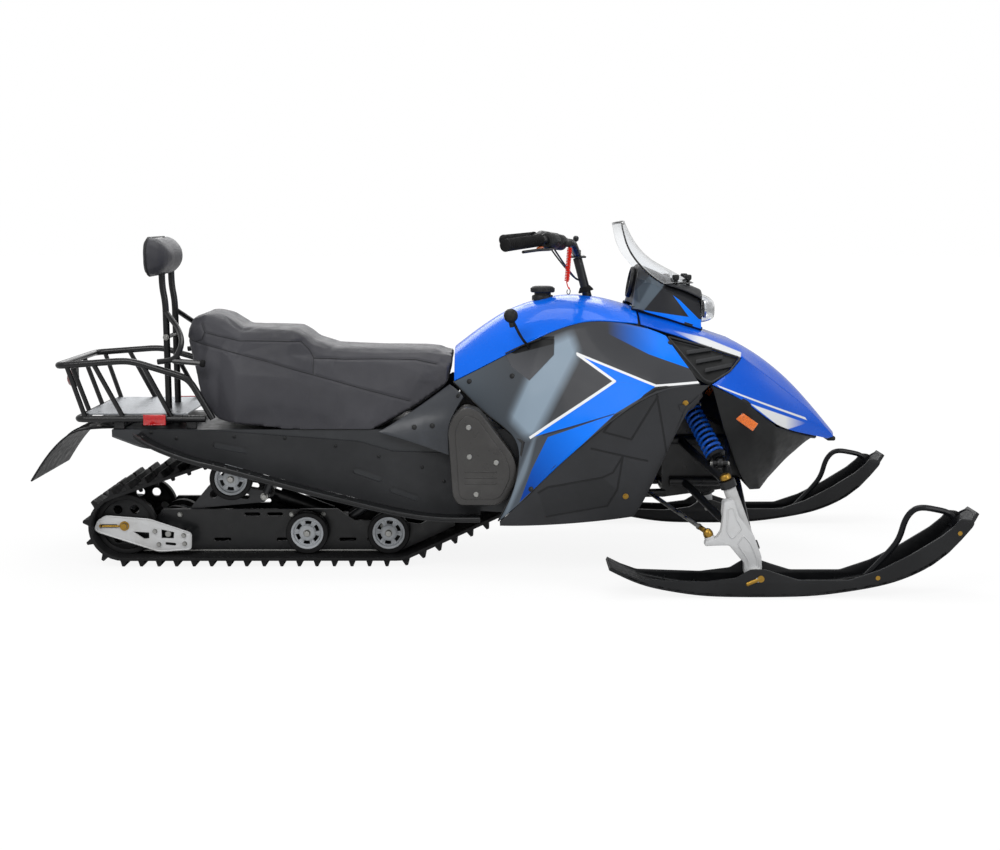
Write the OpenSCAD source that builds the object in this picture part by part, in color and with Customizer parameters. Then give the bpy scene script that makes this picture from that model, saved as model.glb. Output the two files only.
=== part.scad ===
// Small two-up utility snowmobile, parked on its track and skis.
// Frame: +X forward, +Y to the rider's left, +Z up, floor at z = 0, millimetres.

/* [Track and skid] */
// Width of the rubber track
track_w = 380; // [340:5:395]
// Height of the outer lugs
lug_h = 18; // [10:1:30]
// Thickness of the track belt
belt_t = 9; // [6:1:14]
// Distance between two lugs along the belt
lug_pitch = 50; // [40:1:64]
// Radius of the bogie and carrier wheels
bogie_r = 61; // [50:1:70]
// Radius of the toothed rear idlers
idler_r = 86; // [75:1:95]
// X of the rear idler axle
idler_x = -1026; // [-1080:2:-980]

/* [Front end] */
// Distance between the two ski centres
ski_stance = 920; // [860:10:1000]
// Width of one ski
ski_w = 130; // [110:2:150]
// Thickness of the ski sole
ski_t = 12; // [8:1:20]
// Outer diameter of the front shock springs
spring_d = 56; // [44:1:64]
// Caster angle of the kingpins
caster = 21; // [14:1:26]

/* [Body] */
// Thickness of the moulded body panels
panel_t = 5; // [3:0.5:8]
// Width of the tunnel over the track
tunnel_w = 408; // [400:2:440]
// Width of each running board
board_w = 92; // [70:2:120]
// Half width of the seat at its base
seat_half_w = 222; // [216:2:236]
// Thickness of the clear windshield
shield_t = 4; // [3:0.5:6]

/* [Tubes] */
// Diameter of the rear rack and backrest tubes
rack_d = 19; // [14:1:24]
// Diameter of the handlebar tube
bar_d = 22; // [20:1:25]
// Diameter of the front suspension arm tubes
arm_d = 22; // [18:1:26]

/* [Hidden] */
$fn = 48;
gap = 0.3;                 // seat clearance between pieces that touch
radian = PI / 180;

// ---------- general helpers ----------
function unit(v) = v / norm(v);
function rev(l) = [for (i = [len(l) - 1 : -1 : 0]) l[i]];
// rounded rectangle ring across X, clockwise as seen from the front
function ring_x(x, zc, hw, hh, r) = [for (c = [[1, 1, 0], [1, -1, 270], [-1, -1, 180], [-1, 1, 90]])
    for (a = [90, 60, 30, 0]) [x, c[0] * (hw - r) + r * cos(c[2] + a), zc + c[1] * (hh - r) + r * sin(c[2] + a)]];
// a full-width row from the points of its right half, centre line first
function both(r) = concat([for (i = [len(r) - 1 : -1 : 0]) r[i]],
    [for (i = [1 : len(r) - 1]) [r[i][0], -r[i][1], r[i][2]]]);
function flat_list(l) = [for (a = l) for (b = a) b];

// cylinder between two points
module rod(p, q, d) {
    v = q - p;
    len_v = norm(v);
    translate(p)
        rotate([0, acos(v[2] / len_v), atan2(v[1], v[0])])
            cylinder(h = len_v, d = d);
}

// tube through points, with a slightly proud weld ball at each bend
module pipe(pts, d) {
    for (i = [0 : len(pts) - 2]) rod(pts[i], pts[i + 1], d);
    for (i = [1 : 1 : len(pts) - 2]) translate(pts[i]) rotate([37, 21, 0]) sphere(d = d + 1.2);
}

module mirrored() {
    children();
    mirror([0, 1, 0]) children();
}

// plate in the XZ plane between y0 and y1
module side_plate(pts, y0, y1) {
    translate([0, max(y0, y1), 0]) rotate([90, 0, 0]) linear_extrude(abs(y1 - y0)) polygon(pts);
}

// slot along X-Z from a to b, for cutting side plates
module slot_cut(a, b, d, y0, y1) {
    dir = unit(b - a);
    n = [-dir[1], dir[0]] * d * 0.49;
    side_plate([a + n, b + n, b - n, a - n], y0, y1);
    for (c = [a, b]) translate([c[0], max(y0, y1), c[1]]) rotate([90, 0, 0])
        cylinder(h = abs(y1 - y0), d = d);
}

// axle-like cylinder along Y
module y_cyl(x, z, d, y0, y1) {
    translate([x, max(y0, y1), z]) rotate([90, 0, 0]) cylinder(h = abs(y1 - y0), d = d);
}

// normal of a grid surface at row i, column j
function grid_n(g, i, j) =
    let (r = len(g) - 1, c = len(g[0]) - 1,
        du = g[min(i + 1, r)][j] - g[max(i - 1, 0)][j],
        dv = g[i][min(j + 1, c)] - g[i][max(j - 1, 0)])
    unit(cross(du, dv));

// shell of thickness t inside a grid of points, whose rows run forward
module shell(g, t) {
    r = len(g);
    c = len(g[0]);
    n = r * c;
    outer = flat_list(g);
    inner = [for (i = [0 : r - 1]) for (j = [0 : c - 1]) g[i][j] - t * grid_n(g, i, j)];
    quads = [for (i = [0 : r - 2]) for (j = [0 : c - 2]) [i * c + j, i * c + j + 1,
        (i + 1) * c + j + 1, (i + 1) * c + j]];
    rim = concat([for (j = [0 : c - 1]) j],
        [for (i = [1 : r - 1]) i * c + c - 1],
        [for (j = [c - 2 : -1 : 0]) (r - 1) * c + j],
        [for (i = [r - 2 : -1 : 1]) i * c]);
    m = len(rim);
    top = [for (q = quads) each [[q[0], q[1], q[2]], [q[0], q[2], q[3]]]];
    bottom = [for (f = top) [f[0] + n, f[2] + n, f[1] + n]];
    walls = [for (k = [0 : m - 1]) let (a = rim[k], b = rim[(k + 1) % m])
        each [[a, b + n, b], [a, a + n, b + n]]];
    polyhedron(concat(outer, inner), concat(top, bottom, walls));
}

// closed solid through rings of points of equal length
module loft(rings) {
    r = len(rings);
    c = len(rings[0]);
    skin = [for (i = [0 : r - 2]) for (j = [0 : c - 1]) let (k = (j + 1) % c)
        each [[i * c + j, (i + 1) * c + k, i * c + k], [i * c + j, (i + 1) * c + j, (i + 1) * c + k]]];
    first = [for (j = [1 : c - 2]) [0, j, j + 1]];
    last = [for (j = [1 : c - 2]) [(r - 1) * c, (r - 1) * c + j + 1, (r - 1) * c + j]];
    polyhedron(flat_list(rings), concat(skin, first, last));
}

// tube of n sides swept along a list of points
function ring_at(pts, i, rad, n) =
    let (last = len(pts) - 1, t = unit(pts[min(i + 1, last)] - pts[max(i - 1, 0)]),
        a = unit(cross(t, [0.31, 0.87, 0.38])), b = cross(t, a))
    [for (k = [0 : n - 1]) pts[i] + rad * (cos(360 * k / n) * a + sin(360 * k / n) * b)];
module swept(pts, d, n = 8) {
    loft([for (i = [0 : len(pts) - 1]) ring_at(pts, i, d / 2, n)]);
}

// ---------- track loop ----------
belt_in_z = lug_h + belt_t;                      // inner face of the belt on the floor run
idler_c = [idler_x, belt_in_z + idler_r + gap];
carrier_c = [-725, 244];
drive_r = 78;
drive_c = [30, 236];
bogie_z = belt_in_z + gap + bogie_r;
bogie_x = [-512, -280];
inner_axle_x = -905;
// circles that the belt goes round, clockwise as seen from the right: [centre, radius]
belt_circles = [[idler_c, idler_r + gap], [carrier_c, bogie_r + gap], [drive_c, drive_r + gap],
    [[bogie_x[1] + 30, bogie_z], bogie_r + gap]];
nc = len(belt_circles);
function tangent_n(i) =        // unit normal of the straight run after circle i
    let (a = belt_circles[i], b = belt_circles[(i + 1) % nc], d = b[0] - a[0],
        ang = atan2(d[1], d[0]) + 90 - asin((b[1] - a[1]) / norm(d)) * -1)
    [cos(ang), sin(ang)];
function run_start(i) = belt_circles[i][0] + belt_circles[i][1] * tangent_n(i);
function run_end(i) = belt_circles[(i + 1) % nc][0] + belt_circles[(i + 1) % nc][1] * tangent_n(i);
function arc_angle(i) =        // clockwise turn on circle i, between the runs before and after
    let (a = tangent_n((i + nc - 1) % nc), b = tangent_n(i),
        t = atan2(a[1], a[0]) - atan2(b[1], b[0]))
    t < 0 ? t + 360 : t;
// pieces of the loop: arc i then run i; each is [length, kind, index]
pieces = [for (i = [0 : nc - 1]) each [[arc_angle(i) * radian * belt_circles[i][1], 0, i],
    [norm(run_end(i) - run_start(i)), 1, i]]];
function sum_len(k) = k < 0 ? 0 : pieces[k][0] + sum_len(k - 1);
loop_len = sum_len(len(pieces) - 1);
lug_n = round(loop_len / lug_pitch);
// [point, outward normal] at distance s along the loop's inner face
function at(s, k = 0) = s <= pieces[k][0] || k == len(pieces) - 1 ?
    let (p = pieces[k], i = p[2])
    p[1] == 1 ? [run_start(i) + (run_end(i) - run_start(i)) * s / p[0], tangent_n(i)] :
    let (a = tangent_n((i + nc - 1) % nc), w = atan2(a[1], a[0]) - s / (radian * belt_circles[i][1]),
        n = [cos(w), sin(w)])
    [belt_circles[i][0] + belt_circles[i][1] * n, n]
    : at(s - pieces[k][0], k + 1);
function edge(s, h, along) = let (q = at(s), n = q[1]) q[0] + h * n + along * [n[1], -n[0]];
lug_base = 13;
lug_tip = 4;
steps = 4;                       // inner face points per lug
belt_outer = [for (i = [0 : lug_n - 1]) let (s = i * loop_len / lug_n)
    each [edge(s, belt_t, -lug_base), edge(s, belt_t + lug_h, -lug_tip),
        edge(s, belt_t + lug_h, lug_tip), edge(s, belt_t, lug_base)]];
belt_inner = [for (i = [0 : lug_n * steps - 1]) at(i * loop_len / lug_n / steps)[0]];
no = len(belt_outer);
module track() {
    color("#1c1c1e") translate([0, track_w / 2, 0]) rotate([90, 0, 0]) linear_extrude(track_w)
        polygon(concat(belt_outer, belt_inner), [[for (i = [0 : no - 1]) i],
            [for (i = [0 : len(belt_inner) - 1]) no + i]]);
}

// ---------- tunnel and boards ----------
tunnel_half = tunnel_w / 2;
tunnel_t = 3;
tunnel_z = 395;                  // top face
tunnel_x0 = -1040;
tunnel_x1 = 152;
tunnel_low = 154;                // lower edge of the front wall
module tunnel() {
    color("#2b2c2e") {
        translate([tunnel_x0, -tunnel_half, tunnel_z - tunnel_t])
            cube([tunnel_x1 - tunnel_x0, tunnel_w, tunnel_t]);
        translate([tunnel_x1, -tunnel_half, tunnel_low]) cube([tunnel_t, tunnel_w, tunnel_z - tunnel_low]);
        mirrored() difference() {
            side_plate([[tunnel_x0, tunnel_z], [tunnel_x1, tunnel_z], [tunnel_x1, tunnel_low], [-20, 165],
                [-240, 185], [-520, 250], [-740, 315], [-960, 345], [tunnel_x0, 375]],
                -tunnel_half, -tunnel_half + tunnel_t);
            y_cyl(drive_c[0], drive_c[1], axle_d + 2 * gap, -tunnel_half - 1, -tunnel_half + 5);
        }
    }
}
axle_d = 20;

board_path = [[-958, 385], [-912, 352], [-806, 312], [-738, 297], [-508, 233], [-237, 165],
    [-128, 151], [-18, 151]];
cover_top = [[-18, 176], [58, 190], [58, 300], [-40, 398], [-104, 398], [-106, 330], [-262, 334],
    [-356, 362], [-753, 392], [-957, 392]];
cover_t = 5;
cover_y = -tunnel_half - gap;
board_t = 5;
module side_covers() {
    color("#26272a") mirrored() difference() {
        side_plate(concat([for (p = board_path) p + [0, board_t + gap]], cover_top), cover_y - cover_t, cover_y);
        for (s = [[[-363, 280], [-300, 258]], [[-262, 226], [-200, 204]], [[-750, 352], [-672, 338]]])
            slot_cut(s[0], s[1], 20, cover_y - cover_t - 1, cover_y + 1);
        y_cyl(drive_c[0], drive_c[1], axle_d + 2 * gap, cover_y - cover_t - 1, cover_y + 1);
    }
}
module running_boards() {
    n = len(board_path);
    lip = 14;
    color("#1f2022") mirrored() {
        side_plate(concat(board_path, [for (i = [n - 1 : -1 : 0]) board_path[i] + [0, board_t]]),
            cover_y - board_w, cover_y);
        side_plate(concat(board_path, [for (i = [n - 1 : -1 : 0]) board_path[i] + [0, lip]]),
            cover_y - board_w - 4, cover_y - board_w);
    }
}

// ---------- skid ----------
rail_y = track_w / 4;            // inner face of each slide rail
rail_t = 12;
rail_top = 150;
module slide_rails() {
    color("#18181a") {
        mirrored() difference() {
            side_plate([[-1000, belt_in_z + 3], [-990, 60], [-930, rail_top], [-430, rail_top], [-380, 118],
                [-190, 106], [-110, 150], [-92, 142], [-92, 101],
                [-150, 74], [-215, 44], [bogie_x[1] + 30, belt_in_z + gap],
                [-960, belt_in_z + gap]], -rail_y - rail_t, -rail_y);
            for (x = bogie_x) y_cyl(x, bogie_z, axle_d + 2 * gap, -rail_y - rail_t - 1, -rail_y + 1);
            y_cyl(inner_axle_x, bogie_z, axle_d + 2 * gap, -rail_y - rail_t - 1, -rail_y + 1);
            for (x = [-690, -625]) slot_cut([x, 135], [x + 34, 135], 12, -rail_y - rail_t - 1, -rail_y + 1);
            for (x = [-780, -600, -420, -340]) slot_cut([x, 62], [x + 40, 62], 10, -rail_y - rail_t - 1, -rail_y + 1);
        }
    }
}
plate_y = track_w / 2 - 34;      // inner face of each rear plate
plate_t = 7;
module rear_plates() {
    color("#e6e7ea") mirrored() difference() {
        side_plate([[-1110, 104], [-1100, 128], [-1078, 142], [-955, 132], [-838, 92], [-840, 46],
            [-930, 40], [-1100, 96]], -plate_y - plate_t, -plate_y);
        y_cyl(idler_c[0], idler_c[1], axle_d + 2 * gap, -plate_y - plate_t - 1, -plate_y + 1);
        slot_cut([-1090, idler_c[1]], [-1050, idler_c[1]], 9, -plate_y - plate_t - 1, -plate_y + 1);
        slot_cut([-950, 106], [-925, 98], 18, -plate_y - plate_t - 1, -plate_y + 1);
        slot_cut([-900, 92], [-868, 82], 20, -plate_y - plate_t - 1, -plate_y + 1);
        slot_cut([-905, 52], [-880, 52], 10, -plate_y - plate_t - 1, -plate_y + 1);
    }
    color("#e6e7ea") mirrored() for (p = [[-930, 60], [-860, 64]])
        y_cyl(p[0], p[1], 14, -plate_y, -rail_y - rail_t - gap);
}

// rubber-tyred wheel along Y: tyre, dished hub and axle bore
module tyred_wheel(x, z, r, w, y) {
    y_in = y - w / 2;
    translate([x, y_in, z]) rotate([-90, 0, 0])
        rotate_extrude($fn = 64) polygon([[axle_d / 2 + gap, w * 0.25], [r * 0.42, w * 0.25],
            [r * 0.5, w * 0.1], [r * 0.62, w * 0.1], [r * 0.74, 0], [r * 0.97, 0], [r, w * 0.12],
            [r, w * 0.88], [r * 0.97, w], [r * 0.74, w], [r * 0.62, w * 0.9], [r * 0.5, w * 0.9],
            [r * 0.42, w * 0.75], [axle_d / 2 + gap, w * 0.75]]);
}
module axle(x, z, half) {
    y_cyl(x, z, axle_d, -half, half);
}
wheel_y = track_w / 2 - 57;      // centre of each outer wheel
wheel_w = 30;
module bogie_wheels() {
    color("#b9bcc0") {
        for (x = bogie_x) {
            axle(x, bogie_z, wheel_y + wheel_w / 2);
            mirrored() tyred_wheel(x, bogie_z, bogie_r, wheel_w, -wheel_y);
            mirrored() y_cyl(x, bogie_z, axle_d + 4, -wheel_y - 4, -wheel_y + 4);
        }
        axle(inner_axle_x, bogie_z, plate_y - gap);
        mirrored() {
            tyred_wheel(inner_axle_x, bogie_z, bogie_r, wheel_w, -50);
            y_cyl(inner_axle_x, bogie_z, axle_d + 4, -54, -46);
        }
    }
}
module carrier_wheels() {
    color("#b9bcc0") {
        axle(carrier_c[0], carrier_c[1], wheel_y + wheel_w / 2);
        mirrored() {
            tyred_wheel(carrier_c[0], carrier_c[1], bogie_r, wheel_w, -wheel_y);
            y_cyl(carrier_c[0], carrier_c[1], axle_d + 4, -wheel_y - 4, -wheel_y + 4);
        }
    }
}
module rear_idlers() {
    color("#3a3b3d") {
        axle(idler_c[0], idler_c[1], plate_y + plate_t + 6);
        mirrored() {
            difference() {
                y_cyl(idler_c[0], idler_c[1], 2 * idler_r, -wheel_y - 12, -wheel_y + 12);
                y_cyl(idler_c[0], idler_c[1], 2 * idler_r - 26, -wheel_y - 13, -wheel_y - 5);
                for (a = [0 : 60 : 300]) y_cyl(idler_c[0] + 48 * cos(a), idler_c[1] + 48 * sin(a), 26,
                    -wheel_y - 13, -wheel_y + 13);
            }
            y_cyl(idler_c[0], idler_c[1], 44, -wheel_y - 16, -wheel_y - 4);
        }
    }
}
module drive_axle() {
    color("#2e2f31") {
        axle(drive_c[0], drive_c[1], tunnel_half + 4);
        mirrored() difference() {
            y_cyl(drive_c[0], drive_c[1], 2 * drive_r, -112, -86);
            for (a = [0 : 72 : 288]) y_cyl(drive_c[0] + 46 * cos(a), drive_c[1] + 46 * sin(a), 24, -113, -85);
        }
    }
}
rocker_y = rail_y - 17;
rocker_t = 14;
rocker_low = [-848, 132];
rocker_mid = [-640, 184];
rocker_top = [-596, 284];
arm_low = [-420, 100];
arm_top = [-190, 268];
module suspension_arms() {
    color("#4a4b4d") {
        // rear rocker, from the rails up to the tunnel sides, with the carrier wheel on its top
        difference() {
            union() {
                mirrored() side_plate([[-870, 130], [-850, 112], [-826, 124], [-812, 152], [-640, 168],
                    [-624, 186], [-640, 200], [-700, 212], [-704, 260], [-746, 264], [-776, 236],
                    [-800, 214]], -rocker_y - rocker_t, -rocker_y);
                y_cyl(rocker_low[0], rocker_low[1], 16, -rail_y + gap, rail_y - gap);
                y_cyl(rocker_mid[0], rocker_mid[1], 24, -rocker_y - 2, rocker_y + 2);
                mirrored() rod([rocker_mid[0], -rocker_y - 6, rocker_mid[1]],
                    [rocker_top[0], -rocker_y - 6, rocker_top[1]], 22);
                y_cyl(rocker_top[0], rocker_top[1], 24, -tunnel_half + tunnel_t + gap,
                    tunnel_half - tunnel_t - gap);
            }
            mirrored() {
                slot_cut([-786, 190], [-770, 204], 22, -rocker_y - 15, -rocker_y + 1);
                slot_cut([-726, 190], [-690, 184], 16, -rocker_y - 15, -rocker_y + 1);
                y_cyl(carrier_c[0], carrier_c[1], axle_d + 2 * gap, -rocker_y - 15, -rocker_y + 1);
            }
        }
        // front swing arm
        mirrored() rod([arm_low[0], 23 - rail_y, arm_low[1]], [arm_top[0], 23 - rail_y, arm_top[1]], 24);
        y_cyl(arm_low[0], arm_low[1], 26, -rail_y + gap, rail_y - gap);
        y_cyl(arm_top[0], arm_top[1], 26, -tunnel_half + tunnel_t + gap, tunnel_half - tunnel_t - gap);
    }
}
module rear_shock() {
    a = [rocker_mid[0], 0, rocker_mid[1]];
    b = [arm_low[0], 0, arm_low[1]];
    u = unit(b - a);
    color("#2a2b2e") difference() {
        union() {
            rod(a, b, 26);
            rod(a + 34 * u, b - 40 * u, 48);
            y_cyl(a[0], a[2], 38, -14, 14);
            y_cyl(b[0], b[2], 40, -14, 14);
        }
        y_cyl(a[0], a[2], 24 + 2 * gap, -15, 15);
        y_cyl(b[0], b[2], 26 + 2 * gap, -15, 15);
    }
}

// ---------- seat and rear ----------
seat_z = tunnel_z + gap;
// stations of the seat: [x at top, x at base, top z, base z, half width at top, base half width]
seat_rows = [[-846, -806, 676, 474, 108, 168], [-826, -792, 712, 456, 116, 174],
    [-790, -772, 721, 434, 120, 180], [-740, -752, 706, 412, 124, 183],
    [-690, -700, 672, 408, 130, 222], [-540, -560, 668, 392, 132, 222],
    [-490, -500, 634, 386, 128, 222], [-430, -400, 617, 374, 122, 222],
    [-300, -330, 612, 380, 118, 220], [-170, -190, 611, 458, 112, 196],
    [-106, -118, 606, 516, 100, 160]];
module seat() {
    wide = seat_half_w - 222;
    color("#202124") difference() {
        loft([for (s = seat_rows) let (m = (s[2] + s[3]) / 2, w0 = s[4] + wide, w1 = s[5] + wide)
            [[s[1], -w1, s[3]], [(s[0] + s[1]) / 2, -(w0 + w1) / 2 - 16, m + 6], [s[0], -w0 - 18, s[2] - 34],
                [s[0], -w0 + 4, s[2] - 8], [s[0], -w0 * 0.6, s[2]], [s[0], w0 * 0.6, s[2]],
                [s[0], w0 - 4, s[2] - 8], [s[0], w0 + 18, s[2] - 34],
                [(s[0] + s[1]) / 2, (w0 + w1) / 2 + 16, m + 6], [s[1], w1, s[3]]]]);
        translate([-1000, -tunnel_half - cover_t - 2 * gap, 300])
            cube([1200, tunnel_w + 2 * cover_t + 4 * gap, seat_z - 300]);
    }
}

post_y = 60;
post_x = -912;
post_top = 836;
grab_y = 198;
module backrest_frame() {
    brace = [[post_x, -post_y, 712], [-866, -115, 668], [-848, -150, 650], [-843, -176, 634], [-846, -194, 614],
        [-853, -grab_y, 596], [-866, -grab_y, 585], [-880, -grab_y, 583.5], [-908, -grab_y, 583]];
    color("#17181a") {
        mirrored() {
            swept([[post_x, -post_y, seat_z], [post_x, -post_y, 728], [post_x - 1.5, -post_y, 744],
                [post_x - 6.5, -post_y, 768], [post_x - 8, -post_y, 784], [post_x - 8, -post_y, post_top]],
                rack_d, 16);
            swept(brace, 16, 12);
            swept([[-872, -grab_y, 585], [-778, -grab_y, 578]], 16, 12);
            swept([[-904, -grab_y, 583], [-909, -grab_y, 583]], 18, 12);
            swept([[-784, -grab_y, 578.5], [-777, -grab_y, 578]], 22, 12);
            rod([post_x, -post_y, seat_z], [post_x, -post_y, seat_z + 8], 34);
        }
        rod([post_x, -post_y, 640], [post_x, post_y, 640], 12);
    }
}
pad_half = 145;
pad_z = 868;
// sections of the pad from its back to its front: [x, inset from the full outline]
pad_sections = [[-958, 22], [-954, 10], [-944, 3], [-925, 0], [-900, 0], [-886, 6], [-877, 20]];
module backrest_pad() {
    color("#1d1e20") difference() {
        loft([for (k = pad_sections) ring_x(k[0], pad_z, pad_half - k[1], 58 - k[1], 50 - k[1])]);
        mirrored() translate([post_x - 8, -post_y, 700]) cylinder(h = post_top - 700 + gap, d = rack_d + 2 * gap);
    }
}

rack_y = 198;
low_z = 424;                     // centre of the lower rack rail
module rack_rail(grow) {
    pipe([[-1136, 0, low_z], [-1136, -rack_y, low_z], [-780, -rack_y, low_z]], rack_d + grow);
}
module rack_strut(a, b) {
    swept([[a[0], -rack_y, a[1]], [b[0], -rack_y, b[1]]], 14, 12);
}
module rear_rack() {
    side = [[-1187, -168, 572], [-1187, -182, 572], [-1184, -193, 572.2], [-1174, -rack_y, 573],
        [-1000, -rack_y, 586], [-984, -rack_y, 586], [-966, -rack_y, 581], [-836, -rack_y, 541],
        [-820, -rack_y, 532], [-808, -rack_y, 515], [-760, -rack_y, low_z]];
    color("#161719") {
        difference() {
            mirrored() {
                rod([-1187, -178, 572], [-1187, 0, 572], rack_d);
                swept(side, rack_d - 1, 16);
                rack_strut([-1160, 574], [-1112, low_z]);
                rack_strut([-1086, 579], [-1006, low_z]);
                rack_strut([-950, 576], [-872, low_z]);
                rod([-1187, -70, 572], [-1136, -70, low_z], 14);
            }
            mirrored() rack_rail(2 * gap);
        }
        translate([-1189, -14, 498]) cube([4, 28, 74]);
    }
}
module rack_base() {
    color("#161719") mirrored() {
        rack_rail(0);
        for (x = [-1020, -820]) translate([x - 14, -tunnel_half + 5, seat_z]) cube([28, 12, low_z - seat_z - 3]);
    }
}
module rack_plate() {
    color("#c9ccd1") difference() {
        translate([-1122, -186, low_z + rack_d / 2 + gap]) cube([290, 372, 4]);
        for (x = [-1090, -870], y = [-140, 140]) translate([x, y, 430]) cylinder(h = 12, d = 9);
        mirrored() translate([post_x, -post_y, 430]) cylinder(h = 12, d = rack_d + 2 * gap);
    }
}
flap_path = [[-1012, tunnel_z + gap], [-1060, tunnel_z + gap], [-1125, 392], [-1172, 378], [-1232, 318], [-1280, 242]];
module snow_flap() {
    n = len(flap_path);
    t = 6;
    color("#1a1b1d") side_plate(concat(flap_path, [for (i = [n - 1 : -1 : 0]) flap_path[i] + [0, t]]), -182, 182);
}
module tail_light() {
    color("#8c1414") translate([-1189 - gap - 28, 0, 516]) rotate([0, 90, 0]) cylinder(h = 28, d = 50);
}
module reflectors() {
    color("#c8141c") mirrored() translate([-950, -rack_y - rack_d / 2 - 6, 408]) cube([62, 6 - gap, 30]);
    color("#ff7a00") mirrored() nose_reflector(0);
}
module nose_reflector(grow) {
    translate([706, -288, 430]) rotate([0, 35, 0]) rotate([0, 0, -14])
        cube([60 + 2 * grow, 12 + 2 * grow, 26 + 2 * grow], center = true);
}

// ---------- body panels ----------
tank_rows = [
    [[-92, 0, 611], [-92, -70, 603], [-92, -120, 575], [-92, -150, 525]],
    [[-35, 0, 657], [-32, -75, 648], [-26, -130, 612], [-19, -165, 563]],
    [[37, 0, 707], [40, -80, 697], [48, -140, 655], [56, -180, 604]],
    [[95, 0, 734], [98, -85, 722], [108, -150, 684], [120, -190, 638]],
    [[160, 0, 752], [163, -90, 742], [174, -158, 712], [185, -200, 672]],
    [[230, 0, 764], [235, -95, 754], [248, -165, 732], [264, -210, 697]],
    [[326, 0, 755], [324, -95, 748], [322, -165, 732], [319, -215, 700]],
    [[418, 0, 723], [418, -95, 724], [416, -165, 716], [414, -220, 692]]];
column_foot = [285, 0, 766];
column_tilt = 15;
module tank_cover() {
    color("#1553c4") difference() {
        shell([for (r = tank_rows) both(r)], panel_t);
        translate(column_foot) rotate([0, -column_tilt, 0]) cylinder(h = 200, d = 44, center = true);
        translate([160, 0, 700]) cylinder(h = 80, d = 50 + 2 * gap);
    }
}
hood_rows = [
    [[422, 0, 721], [422, -95, 722], [422, -165, 713], [422, -219, 690]],
    [[520, 0, 694], [520, -95, 697], [520, -170, 690], [520, -227, 658]],
    [[616, 0, 657], [616, -95, 660], [620, -175, 650], [630, -243, 620]],
    [[700, 0, 628], [702, -85, 632], [706, -160, 622], [698, -248, 600]],
    [[753, 0, 600], [760, -70, 600], [775, -130, 586], [780, -190, 540]],
    [[836, 0, 542], [845, -50, 538], [855, -95, 520], [862, -140, 478]],
    [[911, 0, 466], [918, -38, 463], [924, -70, 450], [930, -100, 426]],
    [[1004, 0, 363], [1004, -20, 362], [1002, -38, 359], [998, -55, 353]]];
wing_rows = [
    [[698, -249, 599], [656, -296, 562], [606, -321, 534]],
    [[780, -191, 539], [745, -262, 520], [704, -303, 487]],
    [[862, -141, 477], [835, -195, 455], [801, -231, 403]],
    [[930, -101, 425], [920, -115, 400], [911, -122, 369]],
    [[998, -56, 352], [990, -58, 350], [980, -60, 347]]];
module hood() {
    color("#1553c4") {
        shell([for (r = hood_rows) both(r)], panel_t);
        mirrored() translate([0, -0.6, -0.6]) shell([for (r = wing_rows) rev(r)], panel_t);
    }
}
nose_rows = [
    [[745, 0, 213], [745, -140, 213], [702, -226, 268], [644, -290, 410], [606, -318, 530]],
    [[775, 0, 213], [775, -132, 213], [748, -204, 290], [728, -264, 396], [702, -300, 483]],
    [[815, 0, 235], [815, -112, 235], [812, -162, 270], [806, -206, 340], [798, -228, 399]],
    [[865, 0, 296], [865, -92, 296], [880, -106, 312], [896, -112, 336], [906, -118, 363.2]],
    [[944, 0, 316], [944, -48, 316], [952, -51, 321], [960, -54, 328], [970, -56, 336]]];
module nose_lower() {
    color("#1b1c1f") difference() {
        shell([for (r = nose_rows) rev(both(r))], panel_t);
        mirrored() nose_reflector(gap);
    }
}
panel_rows = [
    [[-92, -150, 522], [-70, -165, 503], [-45, -182, 480], [-16, -200, 454]],
    [[56, -180, 601], [52, -205, 540], [46, -222, 480], [39, -240, 415]],
    [[120, -190, 635], [120, -230, 560], [110, -262, 470], [100, -292, 370]],
    [[185, -200, 669], [185, -245, 580], [150, -285, 430], [79, -310, 242]],
    [[230, -207, 683], [215, -258, 560], [150, -300, 360], [34, -323, 163]],
    [[264, -210, 694], [250, -262, 580], [190, -305, 400], [104, -330, 223]],
    [[319, -215, 697], [310, -270, 600], [270, -310, 480], [182, -335, 311]],
    [[414, -221, 687], [404, -280, 620], [378, -318, 540], [344, -345, 449]],
    [[474, -229, 665], [470, -285, 620], [462, -320, 575], [452, -345, 524]],
    [[490, -235, 657], [518, -276, 612], [546, -305, 575], [572, -328, 535]]];
module side_panels() {
    color("#8b8f96") mirrored() difference() {
        shell([for (r = panel_rows) rev(r)], panel_t);
        lever_stick(2 * gap);
    }
}
belly_rows = [
    [[36, -324, 159], [36, -322, 155], [36, -320, 151], [36, -318, 147]],
    [[106, -331, 217], [100, -330, 190], [95, -325, 160], [90, -318, 146]],
    [[184, -336, 305], [185, -336, 250], [190, -330, 195], [200, -318, 150]],
    [[346, -346, 443], [340, -346, 340], [335, -338, 240], [330, -318, 162]],
    [[453, -346, 518], [440, -346, 400], [425, -336, 260], [400, -316, 172]],
    [[520, -339, 526], [500, -342, 440], [480, -335, 340], [440, -320, 235]],
    [[598, -322, 532], [578, -327, 513], [555, -332, 494], [532, -335, 472]]];
module belly_panels() {
    color("#1f2023") mirrored() shell([for (r = belly_rows) rev(r)], panel_t);
}
pan_half = 311.2;                // the pan ends just inside the belly panels
module belly_pan() {
    color("#1a1b1d") side_plate([[110, 147], [200, 150], [330, 162], [394, 171], [392, 176], [330, 167],
        [200, 155], [110, 152]], -pan_half, pan_half);
}
vent_rows = [
    [[496.4, -238, 653.5], [498.4, -240, 651.5], [500.4, -243, 648.5]],
    [[588, -246, 630], [568, -282, 597], [566, -309, 556]],
    [[684, -255, 598], [652, -292, 566], [606, -316, 541]]];
module side_vents() {
    color("#101113") mirrored() translate([0, 0.6, 0]) shell([for (r = vent_rows) rev(r)], panel_t);
}
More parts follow.
